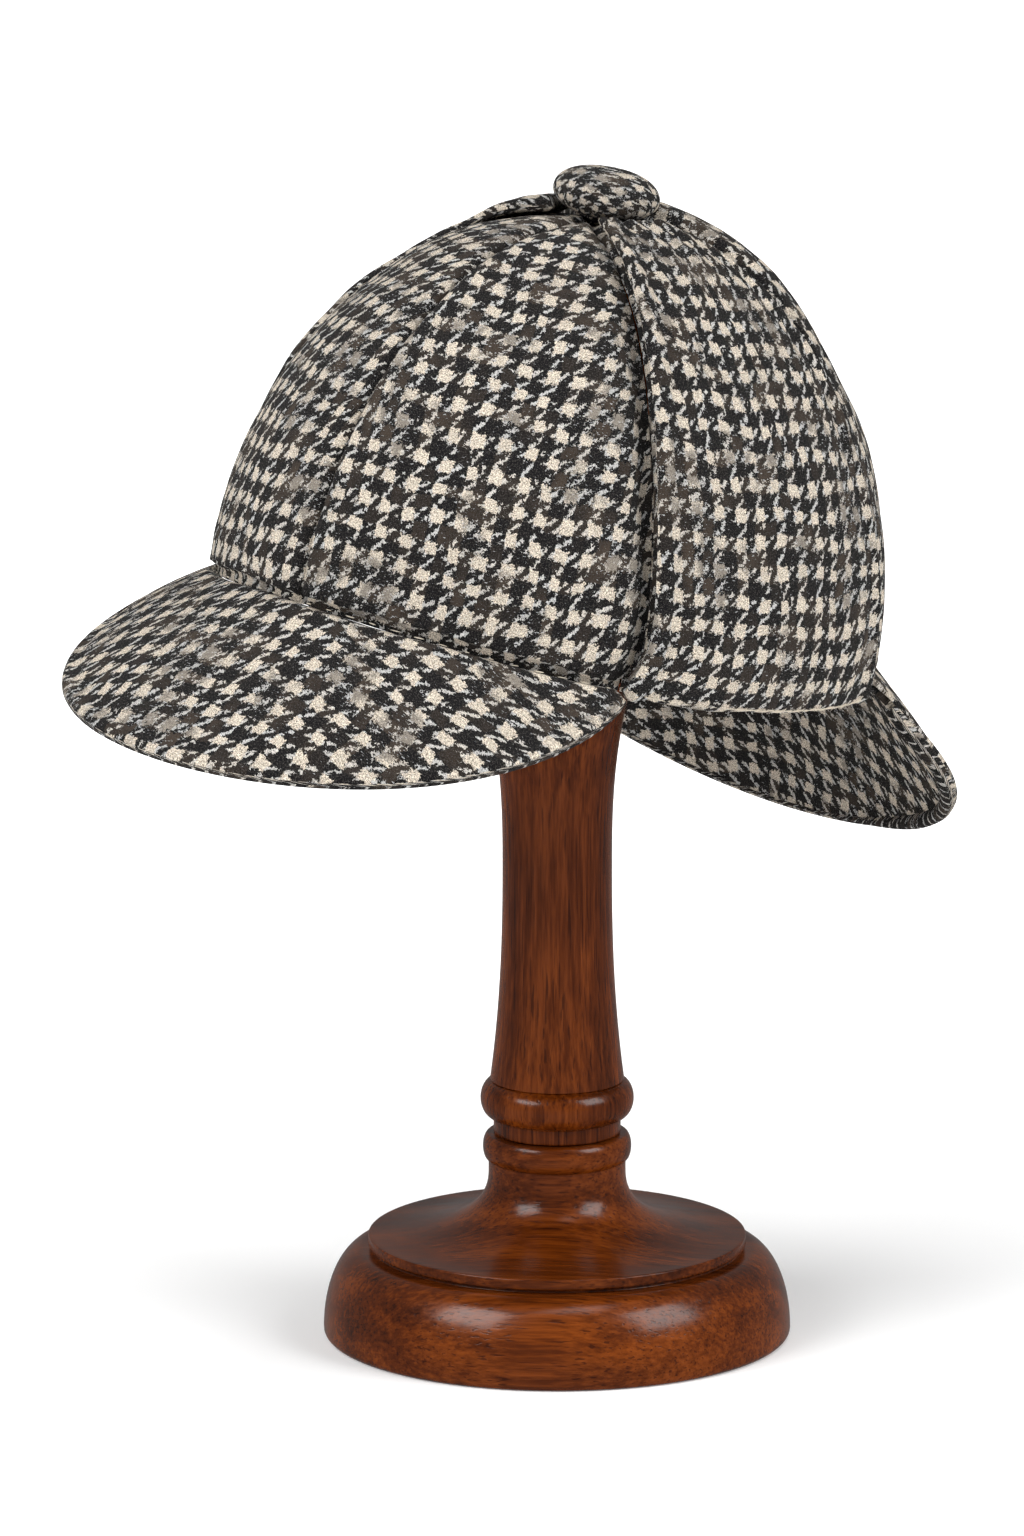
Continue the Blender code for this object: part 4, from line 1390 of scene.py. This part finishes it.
def cord_tree():
    tree, given = new_tree("turned_edge", {"Cord Radius": CORD_RADIUS, "Cord Stripe": CORD_STRIPE})
    line = add_node(tree, "GeometryNodeMeshToCurve", {"Mesh": given["Geometry"]})
    circle = {"Resolution": CORD_SIDES, "Radius": given["Cord Radius"]}
    circle = add_node(tree, "GeometryNodeCurvePrimitiveCircle", circle)
    path, way = measured_curve(line.outputs["Curve"], "way")
    profile, round_way = measured_curve(circle.outputs["Curve"], "round")
    swept = {"Curve": path, "Profile Curve": profile, "Fill Caps": True}
    sweep = add_node(tree, "GeometryNodeCurveToMesh", swept)
    along = calc("DIVIDE", way, given["Cord Stripe"])
    around = calc("DIVIDE", round_way, given["Cord Stripe"])
    slanting = calc("MULTIPLY_ADD", around, CORD_SLANT, along)
    level = calc("MULTIPLY_ADD", around, *CORD_WEFT_RUN)
    end_tree(stored_weave(sweep.outputs["Mesh"], slanting, level), tweed)
    return tree


def line_mesh(name, points):
    mesh = bpy.data.meshes.new(name)
    mesh.from_pydata(points.tolist(), [(i, i + 1) for i in range(len(points) - 1)], [])
    return mesh


turned_edges = cord_tree()


def thinned_to_end(mesh, points, whole_share):
    """Lets a cord run out to a third of its radius after a share of its length."""
    share = np.arange(len(points)) / (len(points) - 1.0)
    scale = 1.0 - CORD_END_LOSS * smooth_step(share, whole_share, whole_share + CORD_END_FADE)
    found = points_of(mesh)
    nearest = np.linalg.norm(found[:, None, :] - points[None, :, :], axis=-1).argmin(axis=1)
    move_points(mesh, points[nearest] + (found - points[nearest]) * scale[nearest][:, None])


def cord(name, points, radius, stripe, whole_share=None):
    values = {"Cord Radius": radius, "Cord Stripe": stripe}
    mesh = made_mesh(name, turned_edges, values, line_mesh(name + "_line", points))
    if whole_share:
        thinned_to_end(mesh, points, whole_share)
    piece = add_piece(name, mesh, tweed, "tweed")
    return piece


cord("tweed_edge_front_peak", edge_lines["tweed_front_peak"], CORD_RADIUS, CORD_STRIPE)
rear_line = edge_lines["tweed_rear_peak"]
cord("tweed_edge_rear_peak", rear_line, REAR_CORD_RADIUS, REAR_CORD_STRIPE, REAR_CORD_WHOLE_SHARE)

# %% Slip stitches
WOOL_DARK = (0.50, 0.44, 0.35)
WOOL_PALE = (0.70, 0.63, 0.52)
STITCH_VALUES = {
    "Spacing": 6.8 * MM,
    "Thickness": 0.22 * MM,
    "Half Length": 1.1 * MM,
    "Stray Turn": 0.1,
    "Stray Shift": 0.1 * MM,
    "Stitch Seed": 7,
}
STITCH_LEAST = (0.6, 0.6, 0.5)
STITCH_MOST = (1.1, 1.1, 1.5)
WOOL_SCALE = 900.0
SEAM_HALF_TURN_DEG = 60.0
SEAM_POINTS = 241
SEAM_INSET = 1.6 * MM
SEAM_DROP = 2.2 * MM


def wool_thread_material():
    material, tree, shader = empty_material("wool_thread")
    place = tree.nodes.new("ShaderNodeTexCoord").outputs["Object"]
    tone = noise_pattern(place, WOOL_SCALE).outputs["Fac"]
    colour = blend_colour(tone, WOOL_DARK, WOOL_PALE)
    fill_sockets(shader.inputs, {"Base Color": colour, "Roughness": 0.9})
    return material


wool_thread = wool_thread_material()


def random_vector(low, high, seed):
    inputs = {0: low, 1: high, "Seed": seed}
    return add_node(seed.id_data, "FunctionNodeRandomValue", inputs, data_type="FLOAT_VECTOR").outputs[0]


def stray_vector(seed, most):
    """A random vector whose parts lie between minus and plus the most."""
    inputs = {0: random_vector((-1, -1, -1), (1, 1, 1), seed), "Scale": most}
    return add_node(seed.id_data, "ShaderNodeVectorMath", inputs, operation="SCALE").outputs[0]


def stitch_tree():
    tree, given = new_tree("slip_stitches", STITCH_VALUES)
    seed = given["Stitch Seed"]
    line = add_node(tree, "GeometryNodeMeshToCurve", {"Mesh": given["Geometry"]})
    spaced = {"Curve": line.outputs["Curve"], "Length": given["Spacing"]}
    places = add_node(tree, "GeometryNodeCurveToPoints", spaced, mode="LENGTH")
    stitch = add_node(tree, "GeometryNodeMeshUVSphere", {"Segments": 6, "Rings": 5, "Radius": 1.0})
    size = {0: given["Thickness"], 1: given["Thickness"], 2: given["Half Length"]}
    size = add_node(tree, "ShaderNodeCombineXYZ", size).outputs[0]
    uneven_size = random_vector(STITCH_LEAST, STITCH_MOST, seed)
    sized = add_node(tree, "ShaderNodeVectorMath", {0: size, 1: uneven_size}, operation="MULTIPLY")
    put = add_node(
        tree,
        "GeometryNodeInstanceOnPoints",
        {
            "Points": places.outputs["Points"],
            "Rotation": places.outputs["Rotation"],
            "Instance": stitch.outputs["Mesh"],
            "Scale": sized.outputs[0],
        },
    )
    turned = {"Instances": put.outputs["Instances"], "Rotation": stray_vector(seed, given["Stray Turn"])}
    turned = add_node(tree, "GeometryNodeRotateInstances", turned)
    shift = stray_vector(calc("ADD", seed, 1.0), given["Stray Shift"])
    moved = {"Instances": turned.outputs["Instances"], "Translation": shift}
    moved = add_node(tree, "GeometryNodeTranslateInstances", moved)
    end_tree(moved.outputs["Instances"], wool_thread)
    return tree


stitching = stitch_tree()


def threads(name, points, values):
    mesh = made_mesh(name, stitching, values, line_mesh(name + "_line", on_the_stand(points)))
    return add_piece(name, mesh, wool_thread, "tweed")


seam_turns = np.linspace(-SEAM_HALF_TURN_DEG, SEAM_HALF_TURN_DEG, SEAM_POINTS)
seam_line = crown_points(seam_turns, 0.0, -SEAM_INSET) - np.array([0.0, 0.0, SEAM_DROP])
threads("slip_stitches", seam_line, STITCH_VALUES)

# %% [markdown]
# ## Loose wool on the flaps' lower folds
#
# Where the flap turns round its lower fold, pale wool fibres stand out and run along the fold as a thin
# light line. The stitch tree makes them too, with thinner, longer and more unruly threads.

# %% Fold fibres
FIBRE_VALUES = {
    "Spacing": 0.42 * MM,
    "Thickness": 0.085 * MM,
    "Half Length": 1.7 * MM,
    "Stray Turn": 0.35,
    "Stray Shift": 0.55 * MM,
    "Stitch Seed": 31,
}
FOLD_ANGLE_DEG = -38.0
FOLD_BARE_END_DEG = 1.0
FOLD_POINTS = 161


def fold_line(side):
    radius = FLAP_FOLD_INNER_RADIUS + FLAP_THICKNESS
    angle = math.radians(FOLD_ANGLE_DEG)
    start = float(flap_front_turn(side, 0.0)) + FOLD_BARE_END_DEG
    turns = side * np.linspace(start, FLAP_REAR_DEG[side] - FOLD_BARE_END_DEG, FOLD_POINTS)
    points = crown_points(turns, 0.0, GAP + radius * math.cos(angle))
    return points + np.array([0.0, 0.0, -GAP - FLAP_THICKNESS + radius + radius * math.sin(angle)])


threads("fold_fibres_left", fold_line(1), FIBRE_VALUES)
threads("fold_fibres_right", fold_line(-1), FIBRE_VALUES)

# %% [markdown]
# ## The flat cuts
#
# The crown panels and the ear flaps are sheets, each cut flat before it was sewn, and the peaks, their
# turned edges and the button have a filling. For each panel and flap the size of its flat cut is printed.

# %% Finish


def declare_sheet(piece, repeat):
    """Prints the box that a sewn piece's flat cut fills, from its weave map; half the area of its two faces
    is worked out, but not used.
    """
    area = sum(face.area for face in piece.data.polygons) / 2
    uv = np.empty(len(piece.data.loops) * 2)
    piece.data.uv_layers["weave"].data.foreach_get("uv", uv)
    outer = uv.reshape(-1, 2)[: len(uv) // 4] * np.array(repeat)
    width, length = outer.max(axis=0) - outer.min(axis=0)
    area = float(min(area, width * length))
    print(piece.name, "flat cut in mm:", round(width / MM), "x", round(length / MM))


for panel in crown_panels:
    declare_sheet(panel, PANEL_REPEAT)
for flap in (flap_left, flap_right):
    declare_sheet(flap, FLAP_REPEAT)
